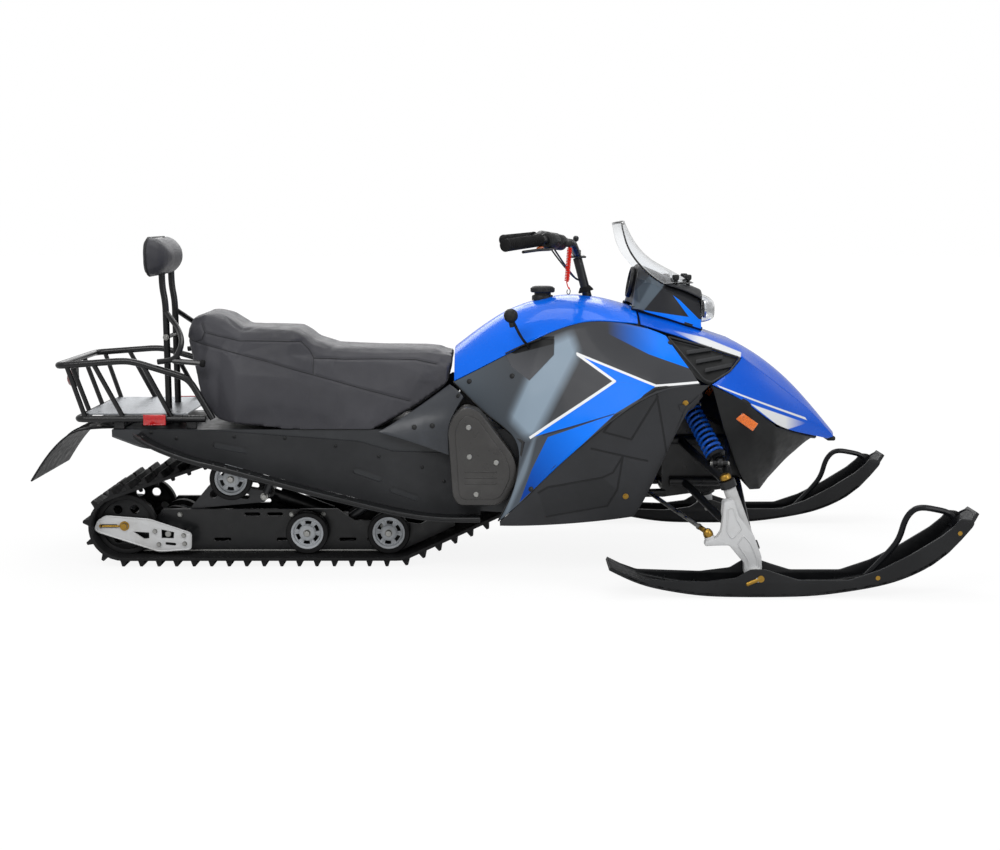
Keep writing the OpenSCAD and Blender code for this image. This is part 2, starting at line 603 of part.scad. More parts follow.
cover_pts = [[-62, 470], [-92, 440], [-106, 405], [-94, 222], [-78, 196], [30, 196], [54, 212],
    [80, 262], [84, 300], [70, 338], [-20, 458]];
module belt_covers() {
    color("#0c0d0f") mirrored() side_plate(cover_pts, -290, cover_y - cover_t - gap);
}
trim_rows = [
    [[-104, -158, 517], [-80, -205, 506], [-66, -240, 492]],
    [[-160, -186, 478], [-120, -222, 462], [-95, -246, 441]],
    [[-226, -208, 433], [-160, -232, 422], [-109, -249, 405]],
    [[-300, -226, 391], [-200, -236, 364], [-104, -250, 330]]];
module trim_panels() {
    color("#3c3e42") mirrored() shell(trim_rows, panel_t);
}

// ---------- cockpit ----------
pod_rows = [
    [[412, 0, 735], [411, -60, 734], [408, -108, 733], [404, -142, 728]],
    [[434, 0, 846], [430, -60, 843], [418, -105, 810], [426, -147, 724]],
    [[480, 0, 830], [478, -70, 822], [476, -125, 790], [452, -152, 714.4]],
    [[520, 0, 812], [520, -75, 803], [520, -130, 764], [506, -154, 700]],
    [[560, 0, 796], [560, -70, 789], [560, -118, 750], [560, -150, 681]],
    [[602, 0, 778], [602, -60, 768], [602, -95, 735], [602, -124, 668]]];
module shield_knobs(d) {
    mirrored() for (p = [[572, -46], [530, -100]]) translate([p[0], p[1], 778]) cylinder(h = 44, d = d);
}
module dash_pod() {
    color("#18191b") {
        shell([for (r = pod_rows) both(r)], panel_t);
        shield_knobs(12);
    }
}
face_tilt = 11;
module gauge() {
    color("#0a0a0b") translate([421.2, 0, 792]) rotate([0, face_tilt - 90, 0])
        translate([0, 0, gap]) cylinder(h = 12, d = 84);
}
module headlight() {
    color("#dfe6ee") loft([ring_x(602.4, 722, 104, 42, 30), ring_x(628, 720, 92, 36, 28),
        ring_x(646, 716, 66, 26, 22), ring_x(652, 714, 40, 14, 12)]);
}
shield_rows = [
    [[392, 0, 968], [386, -80, 968], [372, -152, 962]],
    [[425, 0, 905], [412, -90, 905], [385, -168, 895]],
    [[470, 0, 860], [452, -90, 858], [420, -172, 848]],
    [[530, 0, 832], [505, -90, 828], [455, -168, 815]],
    [[604, 0, 790], [572, -84, 796], [488, -160, 795]]];
module windshield() {
    color("#dfe9f2", 0.5) difference() {
        shell([for (r = shield_rows) both(r)], shield_t);
        shield_knobs(12 + 2 * gap);
    }
}
module fuel_cap() {
    color("#111214") {
        translate([160, 0, 715]) cylinder(h = 50, d = 50);
        translate([160, 0, 764]) cylinder(h = 18, d = 70);
    }
}
module lever_stick(grow) {
    rod([124, -188, 612], [92, -222, 656], 8 + grow);
}
module gear_lever() {
    color("#0e0e10") {
        swept([[124, -188, 612], [92, -222, 656], [69, -226, 704]], 8, 12);
        translate([66, -227, 712]) rotate([70, 30, 0]) sphere(d = 40);
    }
}

// ---------- frame, engine ----------
engine_z = 200 + gap;
module engine() {
    color("#6c6f73") translate([168, -96, engine_z]) cube([132, 192, 250]);
}
frame_y = 100;                   // inner face of the bulkhead plates
frame_x0 = tunnel_x1 + tunnel_t + 2.4;
arm_in_y = frame_y + 4 + gap + arm_d / 2 + 2;
arm_up_in = [352, 548, 676];     // height and two X places of the upper arm's inner ends
arm_low_in = [232, 560, 712];
shock_top = [562, 182, 462];
shock_low = [631.5, 312, 318];
module front_frame() {
    color("#151618") {
        mirrored() {
            rod([frame_x0, -130, 372], [510, -frame_y + 2, 424], 24);
            rod([frame_x0, -130, 196], [510, -frame_y + 2, 196], 24);
            side_plate([[500, 184], [720, 214], [730, 260], [700, 372], [560, 440], [500, 440]],
                -frame_y - 4, -frame_y);
            rod([510, -frame_y + 2, 424], [530, -shock_top[1], shock_top[2]], 20);
            rod([528, -shock_top[1], shock_top[2]], [588, -shock_top[1], shock_top[2]], 16);
        }
        for (p = [[505, 424], [640, 390], [515, 196], [706, 240]]) y_cyl(p[0], p[1], 20, -frame_y - 2, frame_y + 2);
        for (x = [195, 275]) y_cyl(x, 190, 20, -122, 122);
        // column bearing
        difference() {
            at_column(-362) translate([-24, -118, -6]) cube([48, 236, 12]);
            at_column(-380) cylinder(h = 40, d = column_d + 2 * gap);
        }
    }
}
module a_arms() {
    color("#101113") mirrored() difference() {
        union() {
            rod([arm_up_in[1], -arm_in_y, arm_up_in[0]], arm_up_end, arm_d);
            rod([arm_up_in[2], -arm_in_y, arm_up_in[0]], arm_up_end, arm_d);
            rod([arm_up_in[1] - 40, -arm_in_y, arm_up_in[0]], [arm_up_in[2] + 20, -arm_in_y, arm_up_in[0]], arm_d + 4);
            rod(arm_up_end - 10 * kp_dir, arm_up_end + 10 * kp_dir, 44);
            rod([shock_low[0] - 20, -shock_low[1], shock_low[2]], [shock_low[0] + 20, -shock_low[1], shock_low[2]], 16);
            for (s = [-1, 1]) rod([shock_low[0] + 20 * s, -shock_low[1], shock_low[2]],
                [shock_low[0] + 20 * s, -shock_low[1], shock_low[2] - 22], 14);
        }
        rod(arm_up_end - 30 * kp_dir, arm_up_end + 30 * kp_dir, stud_d + 2 * gap);
    }
    color("#101113") mirrored() difference() {
        union() {
            rod([arm_low_in[1], -arm_in_y, arm_low_in[0]], arm_low_end, arm_d);
            rod([arm_low_in[2], -arm_in_y, arm_low_in[0]], arm_low_end, arm_d);
            rod([arm_low_in[1] - 40, -arm_in_y, arm_low_in[0]], [arm_low_in[2] + 6, -arm_in_y, arm_low_in[0]], arm_d + 4);
            rod(arm_low_end - 10 * kp_dir, arm_low_end + 10 * kp_dir, 44);
        }
        rod(arm_low_end - 30 * kp_dir, arm_low_end + 30 * kp_dir, stud_d + 2 * gap);
    }
}
module front_shocks() {
    a = [shock_top[0], -shock_top[1], shock_top[2]];
    b = [shock_low[0], -shock_low[1], shock_low[2]];
    u = unit(b - a);
    color("#1b4fbf") mirrored() difference() {
        union() {
            rod(a, b, 24);
            rod(a + 22 * u, b - 46 * u, spring_d);
            rod(a - [9, 0, 0], a + [9, 0, 0], 30);
            rod(b - [7, 0, 0], b + [7, 0, 0], 30);
        }
        rod(a - [26, 0, 0], a + [26, 0, 0], 16 + 2 * gap);
        rod(b - [26, 0, 0], b + [26, 0, 0], 16 + 2 * gap);
    }
}

// ---------- steering ----------
ski_y = ski_stance / 2;
kp_low = [704, 60 - ski_y, 112];
kp_dir = [-sin(caster), 0, cos(caster)];
kp_len = 168;
kp_top = kp_low + kp_len * kp_dir;
kp_rise = 18;                    // length of the lower ball stud below the casting
stud_d = 16;
arm_low_end = kp_low - 5 * kp_dir;
arm_up_end = kp_top + (10 + gap) * kp_dir;
pivot_x = 705;
pivot_z = 47;
pivot_d = 14;
column_d = 26;
pitman_h = 10;
column_len = 522;
pitman_r = 88;
module at_column(h) {
    translate(column_foot) rotate([0, -column_tilt, 0]) translate([0, 0, h]) children();
}
module steering_column() {
    color("#202124") {
        at_column(-column_len) cylinder(h = column_len + 100.3, d = column_d);
        at_column(-column_len) {
            translate([-pitman_r, -26, 0]) cube([pitman_r, 52, pitman_h]);
        }
    }
}
clamp = column_foot + 100 * [-sin(column_tilt), 0, cos(column_tilt)];
bar_right = [clamp + [0, 0, 12], clamp + [-4, -50, 14], clamp + [-20, -110, 46], [212, -150, 908],
    [150, -262, 918], [52, -400, 906]];
module handlebar() {
    color("#131416") mirrored() pipe(bar_right, bar_d);
}
module grips() {
    color("#0b0b0c") mirrored() difference() {
        rod(bar_right[4] + [-8, -11, -1], bar_right[5] + [-4, -6, 0], 34);
        rod(bar_right[4], bar_right[5], bar_d + 2 * gap);
    }
}
module controls() {
    color("#1a1b1d") mirrored() difference() {
        rod([205, -163, 908.8], [160, -244, 916.4], 44);
        rod(bar_right[3], bar_right[4], bar_d + 2 * gap);
    }
    color("#1a1b1d") difference() {
        rod(plug_at - [14, 0, 0], plug_at + [10, 0, 0], 18);
        rod(bar_right[3], bar_right[4], bar_d + 2 * gap);
    }
}
// plug of the tether, on the front of the right-hand switch housing
plug_at = [228, -176, 906];
module lanyard_coil() {
    color("#e01818") swept([[228, -176, 896.4], [228, -175.5, 880], [226, -175, 860], [223, -174, 840],
        [221, -173, 820], [221, -172, 802]], 15, 10);
}
module lanyard_cord() {
    color("#e01818") swept([[221, -172, 801.7], [221, -172, 796], [223, -171, 790], [227, -170, 784]], 4, 8);
}
tie_gap = 2.6;                   // clearance at the opened inner joint of each tie rod
tie_in = column_foot + (-column_len + pitman_h + tie_gap) * [-sin(column_tilt), 0, cos(column_tilt)]
    + (pitman_r - 12) * [-cos(column_tilt), 0, -sin(column_tilt)];
tie_out = [588, 24 - ski_y, 144];     // top of the steering arm boss
module tie_rod_part() {
    color("#b28a3c") {
        rod(tie_out + gap * kp_dir, tie_out + 22 * kp_dir, 26);
        rod(tie_out + 11 * kp_dir, tie_in + [0, -14, 16], 14);
        translate(tie_in + [0, -14, 0]) rotate([0, -column_tilt, 0]) cylinder(h = 26, d = 22);
    }
}
module tie_rod_right() { tie_rod_part(); }
module tie_rod_left() { mirror([0, 1, 0]) tie_rod_part(); }
module spindle_part() {
    color("#e4e5e8") difference() {
        union() {
            rod(kp_low + kp_rise * kp_dir, kp_top, 34);
            rod(kp_low - 18 * kp_dir, kp_top + 24 * kp_dir, stud_d);
            side_plate([[624, 238], [650, 244], [664, 200], [704, 150], [726, 92], [729, 47], [705, 23],
                [681, 47], [680, 74], [640, 122], [612, 122], [576, 120], [576, 133], [606, 142],
                [618, 160], [622, 200]], 8 - ski_y, 35 - ski_y);
            side_plate([[624, 238], [650, 244], [664, 200], [690, 150], [640, 150], [622, 200]], 30 - ski_y, 55 - ski_y);
            y_cyl(pivot_x, pivot_z, 46, -ski_y - 22, -ski_y + 22);
            rod(tie_out - 18 * kp_dir, tie_out, 28);
        }
        y_cyl(pivot_x, pivot_z, pivot_d + 2 * gap, -ski_y - 23, -ski_y + 60);
    }
}
module spindle_right() { spindle_part(); }
module spindle_left() { mirror([0, 1, 0]) spindle_part(); }

ski_bottom = [[322, 71], [400, 31], [557, 3], [640, 0], [820, 0], [900, 8], [1025, 28], [1153, 81],
    [1228, 150], [1280, 214]];
ski_side_top = [[1240, 200], [1180, 163], [1102, 114], [1023, 73], [944, 46], [811, 46], [760, 62],
    [725, 74], [685, 74], [650, 52], [570, 42], [400, 48], [334, 72]];
module ski_part() {
    n = len(ski_bottom);
    color("#17181a") {
        side_plate(concat(ski_bottom, [for (i = [n - 1 : -1 : 0]) ski_bottom[i] + [-1, ski_t]]),
            -ski_y - ski_w / 2, -ski_y + ski_w / 2);
        for (s = [-1, 1]) side_plate(concat([for (i = [0 : n - 2]) ski_bottom[i] + [2, 2]], ski_side_top),
            -ski_y + s * (ski_w / 2 - 5) - 5, -ski_y + s * (ski_w / 2 - 5) + 5);
        y_cyl(pivot_x, pivot_z, pivot_d, -ski_y - ski_w / 2 + 5, -ski_y + ski_w / 2 - 5);
        pipe([[1006, -ski_y, 32], [1050, -ski_y, 96], [1081, -ski_y, 131], [1098, -ski_y, 192],
            [1123, -ski_y, 222], [1162, -ski_y, 230], [1224, -ski_y, 214], [1232, -ski_y, 160]], 16);
    }
}
module ski_right() { ski_part(); }
module ski_left() { mirror([0, 1, 0]) ski_part(); }

tunnel();
side_covers();
running_boards();
belly_pan();
front_frame();
engine();
track();
slide_rails();
rear_plates();
bogie_wheels();
carrier_wheels();
rear_idlers();
drive_axle();
suspension_arms();
rear_shock();
seat();
backrest_frame();
backrest_pad();
rear_rack();
rack_base();
rack_plate();
snow_flap();
tail_light();
reflectors();
tank_cover();
hood();
nose_lower();
side_panels();
belly_panels();
side_vents();
belt_covers();
trim_panels();
dash_pod();
gauge();
headlight();
windshield();
fuel_cap();
gear_lever();
a_arms();
front_shocks();
steering_column();
handlebar();
grips();
controls();
lanyard_coil();
lanyard_cord();
tie_rod_right();
tie_rod_left();
spindle_right();
spindle_left();
ski_right();
ski_left();
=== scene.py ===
import bmesh
import bpy
from math import atan2, cos, degrees, hypot, pi, radians, sin
from mathutils import Matrix, Vector
from mathutils.bvhtree import BVHTree


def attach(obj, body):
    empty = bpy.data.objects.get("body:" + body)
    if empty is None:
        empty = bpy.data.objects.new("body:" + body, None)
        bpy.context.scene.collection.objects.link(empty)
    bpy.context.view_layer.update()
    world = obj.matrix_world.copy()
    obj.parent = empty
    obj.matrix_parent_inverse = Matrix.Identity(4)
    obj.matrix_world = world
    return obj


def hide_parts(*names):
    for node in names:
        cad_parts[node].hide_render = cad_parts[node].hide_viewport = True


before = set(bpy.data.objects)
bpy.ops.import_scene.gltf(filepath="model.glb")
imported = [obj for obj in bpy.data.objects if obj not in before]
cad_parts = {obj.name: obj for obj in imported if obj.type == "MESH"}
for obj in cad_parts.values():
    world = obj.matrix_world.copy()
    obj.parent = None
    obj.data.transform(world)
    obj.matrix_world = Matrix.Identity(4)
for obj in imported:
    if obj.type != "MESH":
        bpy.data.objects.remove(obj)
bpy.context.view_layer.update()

MM = 0.001  # shapes are written in millimetres and made in metres
WELD = 0.00002  # points closer than this are merged
RIGHT, UP, FORWARD = (0, -1, 0), (0, 0, 1), (1, 0, 0)
FIELD_BLUE = "007cff"


# ---------- camera, stage and light ----------
def make_camera():
    data = bpy.data.cameras.new("camera")
    data.lens = 51.8
    data.sensor_width = 36
    camera = bpy.data.objects.new("camera", data)
    camera.location = (0.0232, -4.1536, 0.9837)
    camera.rotation_euler = (radians(90 - 8.30), 0, -0.0034)
    bpy.context.collection.objects.link(camera)
    bpy.context.scene.camera = camera


def area_light(name, place, size, power, aim=(0, 0, 0.4)):
    data = bpy.data.lights.new(name, "AREA")
    data.shape = "RECTANGLE"
    data.size, data.size_y = size
    data.energy = power
    lamp = bpy.data.objects.new(name, data)
    lamp.location = place
    lamp.rotation_euler = (Vector(aim) - Vector(place)).to_track_quat("-Z", "Y").to_euler()
    bpy.context.collection.objects.link(lamp)


def make_stage():
    """A pale floor that keeps the sled's shadow and turns white further out, in a white room."""
    bm = bmesh.new()
    bmesh.ops.create_grid(bm, x_segments=1, y_segments=1, size=30)
    mesh = mesh_of(bm)
    mesh.name = "floor"
    floor = bpy.data.objects.new("floor", mesh)
    floor.location = (0, 0, -0.002)
    bpy.context.collection.objects.link(floor)
    mat = bpy.data.materials.new("pale_floor")
    mat.use_nodes = True
    mesh.materials.append(mat)
    g = Graph(mat.node_tree)
    g.tree.nodes.clear()
    out, mix = g.node("OutputMaterial"), g.node("MixShader")
    matt, glow = g.node("BsdfDiffuse"), g.node("Emission")
    matt.inputs["Color"].default_value = (0.9, 0.9, 0.9, 1)
    glow.inputs["Strength"].default_value = 1.04
    away = g.node("VectorMath", operation="LENGTH")
    g.join(g.node("TexCoord").outputs["Object"], away.inputs[0])
    whiteness = g.span(away.outputs["Value"], 1.4, 4.5, 0.86, 1.0)
    share = g.math("MULTIPLY", g.node("LightPath").outputs["Is Camera Ray"], whiteness)
    for output, socket in zip((share, matt.outputs[0], glow.outputs[0]), mix.inputs):
        g.join(output, socket)
    g.join(mix.outputs[0], out.inputs[0])

    world = bpy.data.worlds.new("studio")
    world.use_nodes = True
    g = Graph(world.node_tree)
    back = g.tree.nodes["Background"]
    back.inputs["Color"].default_value = (1, 1, 1, 1)
    ray = g.node("LightPath").outputs
    seen = g.math("MAXIMUM", ray["Is Camera Ray"], ray["Is Transmission Ray"])
    clear = g.math("MAXIMUM", seen, g.math("MULTIPLY", ray["Is Glossy Ray"], 0.4))
    g.join(g.span(clear, 0.0, 1.0, 0.42, 1.0), back.inputs["Strength"])
    bpy.context.scene.world = world
    bpy.context.scene.view_settings.view_transform = "Standard"
    area_light("key", (-1.6, -3.4, 3.4), (2.6, 1.6), 70)
    area_light("fill", (2.8, -3.0, 2.0), (1.6, 1.8), 30)
    area_light("top", (0.2, 0.3, 3.6), (3.4, 1.6), 42)
    area_light("back", (-0.6, 3.4, 2.2), (3.0, 1.4), 32)


# ---------- materials ----------
def rgb(code):
    """Linear colour from a six-digit shade code."""
    parts = [int(code[i:i + 2], 16) / 255 for i in (0, 2, 4)]
    return tuple(p / 12.92 if p <= 0.04045 else ((p + 0.055) / 1.055) ** 2.4 for p in parts) + (1,)


class Graph:
    """Short calls for the nodes of a material or of the world."""

    def __init__(self, tree):
        self.tree = tree

    def node(self, kind, **values):
        node = self.tree.nodes.new("ShaderNode" + kind)
        for key, value in values.items():
            setattr(node, key, value)
        return node

    def join(self, output, socket):
        self.tree.links.new(output, socket)

    def feed(self, value, socket):
        """Sets a socket to a constant, or links it to an output."""
        if isinstance(value, (int, float, tuple)):
            socket.default_value = value
        else:
            self.join(value, socket)

    def math(self, operation, a, b=0.0):
        node = self.node("Math", operation=operation)
        self.feed(a, node.inputs[0])
        self.feed(b, node.inputs[1])
        return node.outputs[0]

    def span(self, value, low, high, to_low=0.0, to_high=1.0):
        """The value's run from low to high, laid on the run from to_low to to_high."""
        node = self.node("MapRange")
        for name, number in (("From Min", low), ("From Max", high), ("To Min", to_low), ("To Max", to_high)):
            node.inputs[name].default_value = number
        self.join(value, node.inputs["Value"])
        return node.outputs[0]


class Finish(Graph):
    """A material whose patterns stand in Object coordinates."""

    def __init__(self, name, **sockets):
        self.mat = bpy.data.materials.new(name)
        self.mat.use_nodes = True
        super().__init__(self.mat.node_tree)
        self.shader = self.tree.nodes["Principled BSDF"]
        for key, value in sockets.items():
            self.shader.inputs[key.replace("_", " ")].default_value = value
        self.place = self.node("TexCoord").outputs["Object"]

    def product(self, *values):
        """The values multiplied together."""
        result = values[0]
        for value in values[1:]:
            result = self.math("MULTIPLY", result, value)
        return result

    def either(self, values):
        """The highest of the values."""
        result = values[0]
        for value in values[1:]:
            result = self.math("MAXIMUM", result, value)
        return result

    def noise(self, scale, detail=3.0, stretch=None, rough=0.5):
        node = self.node("TexNoise")
        node.inputs["Scale"].default_value = scale
        node.inputs["Detail"].default_value = detail
        node.inputs["Roughness"].default_value = rough
        source = self.place
        if stretch:
            turn = self.node("Mapping")
            turn.inputs["Scale"].default_value = stretch
            self.join(self.place, turn.inputs[0])
            source = turn.outputs[0]
        self.join(source, node.inputs["Vector"])
        return node.outputs["Fac"]

    def cells(self, scale, **values):
        node = self.node("TexVoronoi", **values)
        node.inputs["Scale"].default_value = scale
        self.join(self.place, node.inputs["Vector"])
        return node.outputs["Distance"]

    def mix(self, share, a, b):
        node = self.node("Mix", data_type="RGBA")
        self.feed(share, node.inputs[0])
        self.feed(a, node.inputs[6])
        self.feed(b, node.inputs[7])
        return node.outputs[2]

    def colour(self, value):
        self.join(value, self.shader.inputs["Base Color"])

    def roughness(self, scale, detail, low, high):
        """Patches between two roughnesses."""
        self.join(self.span(self.noise(scale, detail), 0.3, 0.7, low, high), self.shader.inputs["Roughness"])

    def bump(self, height, strength, distance):
        """Relief, laid over any relief that the finish already has."""
        node = self.node("Bump")
        node.inputs["Strength"].default_value = strength
        node.inputs["Distance"].default_value = distance
        self.join(height, node.inputs["Height"])
        if self.shader.inputs["Normal"].is_linked:
            self.join(self.shader.inputs["Normal"].links[0].from_socket, node.inputs["Normal"])
        self.join(node.outputs[0], self.shader.inputs["Normal"])

    def sunk(self, share, strength, distance):
        """Relief that goes down where the share is 1."""
        self.bump(self.math("SUBTRACT", 1.0, share), strength, distance)

    def along(self, direction):
        """Distance of a surface point along a direction, in metres."""
        node = self.node("VectorMath", operation="DOT_PRODUCT")
        node.inputs[1].default_value = direction
        self.join(self.place, node.inputs[0])
        return node.outputs["Value"]

    def off_middle(self):
        """Distance of a surface point from the middle plane, in metres."""
        parts = self.node("SeparateXYZ")
        self.join(self.place, parts.inputs[0])
        return self.math("ABSOLUTE", parts.outputs["Y"])

    def region(self, corners, soft=0.4):
        """1 inside a convex shape drawn in the side view, with corners in order, in millimetres."""
        sides = list(zip(corners, corners[1:] + corners[:1]))
        turn = 1 if sum(a[0] * b[1] - b[0] * a[1] for a, b in sides) > 0 else -1
        edges = []
        for a, b in sides:
            dx, dz = b[0] - a[0], b[1] - a[1]
            length = hypot(dx, dz) * turn
            normal = (-dz / length, 0, dx / length)
            offset = (a[0] * normal[0] + a[1] * normal[2]) * MM
            edges.append(self.span(self.along(normal), offset - soft * MM, offset + soft * MM))
        return self.product(*edges)

    def stripe(self, a, b, width, end=0.0):
        """1 on a line between two points of the side view, which runs past each by end."""
        length = hypot(b[0] - a[0], b[1] - a[1])
        ux, uz = (b[0] - a[0]) / length, (b[1] - a[1]) / length
        px, pz = -uz * width / 2, ux * width / 2
        a = (a[0] - ux * end, a[1] - uz * end)
        b = (b[0] + ux * end, b[1] + uz * end)
        return self.region([(a[0] + px, a[1] + pz), (b[0] + px, b[1] + pz),
                            (b[0] - px, b[1] - pz), (a[0] - px, a[1] - pz)])


def toned(code, factor, lift=0.0):
    """A shade made lighter or darker."""
    return tuple(min(1, c * factor + lift) for c in rgb(code)[:3]) + (1,)


def gloss_paint(name, shade, coat=1.0):
    f = Finish(name, Roughness=0.3, Specular_IOR_Level=0.1, Coat_Weight=0.3 * coat, Coat_Roughness=0.03)
    f.colour(f.mix(f.noise(5, 2), toned(shade, 0.86), rgb(shade)))
    f.roughness(28, 4, 0.2, 0.3)
    f.bump(f.noise(420, 2), 0.05, 0.0004)
    return f


def satin_paint(name, shade, rough=0.38, dust=None):
    """Baked paint with dull patches, in the colour of its dust if one is given."""
    f = Finish(name, Specular_IOR_Level=0.35, Coat_Weight=0.15, Coat_Roughness=0.2)
    worn = rgb(dust) if dust else toned(shade, 1.6, 0.006)
    patches = f.span(f.noise(14, 5, rough=0.6), 0.52, 0.78)
    f.colour(f.mix(f.product(patches, 0.45), rgb(shade), worn))
    f.roughness(40, 3, rough - 0.07, rough + 0.1)
    f.bump(f.noise(900, 2), 0.12, 0.0004)
    return f


def grained_plastic(name, shade, rough=0.5):
    f = Finish(name, Specular_IOR_Level=0.28)
    f.colour(f.mix(f.span(f.noise(7, 4), 0.35, 0.7), rgb(shade), toned(shade, 1.35, 0.004)))
    f.roughness(60, 3, rough - 0.05, rough + 0.1)
    f.bump(f.cells(900), 0.22, 0.0003)
    return f


def rubber(name, shade, rough=0.62, scuff=0.35):
    f = Finish(name, Specular_IOR_Level=0.22)
    scuffs = f.span(f.noise(22, 6, rough=0.65), 0.5, 0.75)
    f.colour(f.mix(f.product(scuffs, scuff), rgb(shade), toned(shade, 2.1, 0.01)))
    f.roughness(50, 3, rough - 0.08, rough + 0.12)
    f.bump(f.noise(500, 4), 0.25, 0.0006)
    return f


def vinyl(name, shade):
    """Seat cover with a fine pebbled grain over soft dents."""
    f = Finish(name, Specular_IOR_Level=0.32, Sheen_Weight=0.05, Sheen_Roughness=0.4)
    f.colour(f.mix(f.span(f.noise(6, 4), 0.35, 0.7), rgb(shade), toned(shade, 1.3, 0.004)))
    f.roughness(35, 4, 0.4, 0.52)
    f.bump(f.span(f.cells(420, feature="DISTANCE_TO_EDGE"), 0.0, 0.14), 0.32, 0.0004)
    f.bump(f.noise(26, 3), 0.18, 0.002)
    return f


def bare_metal(name, shade, rough=0.3, stretch=(1, 1, 1)):
    """Unpainted metal, brushed along one axis where it is stretched."""
    f = Finish(name, Metallic=1.0)
    f.colour(f.mix(f.noise(9, 5, rough=0.6), toned(shade, 0.72), rgb(shade)))
    patches = f.span(f.noise(60, 4, stretch), 0.3, 0.7, rough - 0.08, rough + 0.14)
    f.join(patches, f.shader.inputs["Roughness"])
    f.bump(f.noise(300, 3, stretch), 0.1, 0.0003)
    return f


def clear_sheet(name, tint):
    f = Finish(name, Roughness=0.02, IOR=1.46, Transmission_Weight=1.0, Specular_IOR_Level=0.5)
    f.colour(f.mix(f.noise(3, 2), rgb(tint), (1, 1, 1, 1)))
    f.bump(f.noise(12, 2), 0.02, 0.0005)
    return f


def lens(name, shade):
    """Coloured lamp plastic with its prisms."""
    f = Finish(name, Roughness=0.15, Coat_Weight=0.9, Coat_Roughness=0.05)
    prisms = f.cells(320, feature="DISTANCE_TO_EDGE")
    f.colour(f.mix(f.span(prisms, 0.02, 0.2), toned(shade, 0.55), rgb(shade)))
    f.bump(prisms, 0.3, 0.0008)
    return f


# ---------- shape helpers: each returns a mesh placed in the frame ----------
def mesh_of(bm):
    """The mesh of a bmesh, which is used up."""
    mesh = bpy.data.meshes.new("part")
    bm.to_mesh(mesh)
    bm.free()
    return mesh


def piece(name, parts, body, hides=(), smooth=35):
    """One object from (mesh, finish) parts, riding on a body."""
    bm = bmesh.new()
    finishes = []
    for mesh, finish in parts:
        if finish not in finishes:
            finishes.append(finish)
        start = len(bm.faces)
        bm.from_mesh(mesh)
        bm.faces.ensure_lookup_table()
        for face in bm.faces[start:]:
            face.material_index = finishes.index(finish)
        bpy.data.meshes.remove(mesh)
    for face in bm.faces:
        face.smooth = True
    for edge in bm.edges:
        edge.smooth = len(edge.link_faces) == 2 and edge.calc_face_angle(0) < radians(smooth)
    mesh = bpy.data.meshes.new(name)
    bm.to_mesh(mesh)
    bm.free()
    for finish in finishes:
        mesh.materials.append(finish.mat)
    obj = bpy.data.objects.new(name, mesh)
    bpy.context.collection.objects.link(obj)
    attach(obj, body)
    if hides:
        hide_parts(*hides)
    return obj


def both_sides(mesh):
    """The mesh of a right-hand part together with its mirror image."""
    twin = mirrored(mesh.copy())
    return several([mesh, twin])


def mirrored(mesh):
    """The mirror image of a mesh, which is used up."""
    bm = bmesh.new()
    bm.from_mesh(mesh)
    bpy.data.meshes.remove(mesh)
    bmesh.ops.scale(bm, vec=(1, -1, 1), verts=bm.verts)
    bmesh.ops.reverse_faces(bm, faces=bm.faces)
    return mesh_of(bm)


def several(meshes):
    """The meshes as one mesh."""
    bm = bmesh.new()
    for mesh in meshes:
        bm.from_mesh(mesh)
        bpy.data.meshes.remove(mesh)
    return mesh_of(bm)


def pair(*meshes):
    """The meshes of a right-hand part as one mesh, together with its mirror image."""
    return both_sides(several(meshes))


def on_side(side, *meshes):
    """The meshes of a right-hand part as one mesh, mirrored for the left."""
    mesh = several(meshes)
    return mirrored(mesh) if side == "left" else mesh


def settle(obj):
    """The evaluated mesh of a helper object, which is then removed."""
    bpy.context.view_layer.update()
    graph = bpy.context.evaluated_depsgraph_get()
    mesh = bpy.data.meshes.new_from_object(obj.evaluated_get(graph))
    data = obj.data
    bpy.data.objects.remove(obj)
    (bpy.data.meshes if isinstance(data, bpy.types.Mesh) else bpy.data.curves).remove(data)
    return mesh


def wear_modifiers(mesh, *steps):
    """The mesh after a list of (kind, settings) modifiers."""
    obj = bpy.data.objects.new("work", mesh)
    bpy.context.collection.objects.link(obj)
    for kind, values in steps:
        step = obj.modifiers.new(kind.lower(), kind)
        for key, value in values.items():
            setattr(step, key, value)
    return settle(obj)


def rounded(points, radius, closed, steps):
    """A path in which each corner is a short curve that starts at most radius before it."""
    path = []
    n = len(points)
    for i, p in enumerate(points):
        if not closed and i in (0, n - 1):
            path.append(p)
            continue
        a, b = points[i - 1], points[(i + 1) % n]
        start, end = (p + (q - p).normalized() * min(radius, (q - p).length * 0.45) for q in (a, b))
        for k in range(steps + 1):
            t = k / steps
            path.append(start * (1 - t) ** 2 + p * 2 * t * (1 - t) + end * t * t)
    return path


def spot(x, y, z):
    """A point of the frame, from millimetres."""
    return Vector((x, y, z)) * MM


def add_line(data, points, closed=False):
    """Adds a straight-sided line through points to a curve."""
    line = data.splines.new("POLY")
    line.points.add(len(points) - 1)
    line.use_cyclic_u = closed
    for point, p in zip(line.points, points):
        point.co = (*p, 1)


def curve_mesh(data):
    """The mesh of a curve, which is used up."""
    obj = bpy.data.objects.new(data.name, data)
    bpy.context.collection.objects.link(obj)
    return settle(obj)


def tube(points, diameter, bend=30, sides=12, closed=False):
    """A round bar along points in millimetres."""
    data = bpy.data.curves.new("bar", "CURVE")
    data.dimensions = "3D"
    data.bevel_depth = diameter / 2 * MM
    data.bevel_resolution = max(1, sides // 4 - 1)
    data.use_fill_caps = not closed
    path = [spot(*p) for p in points]
    add_line(data, rounded(path, bend * MM, closed, 5) if bend else path, closed)
    return curve_mesh(data)


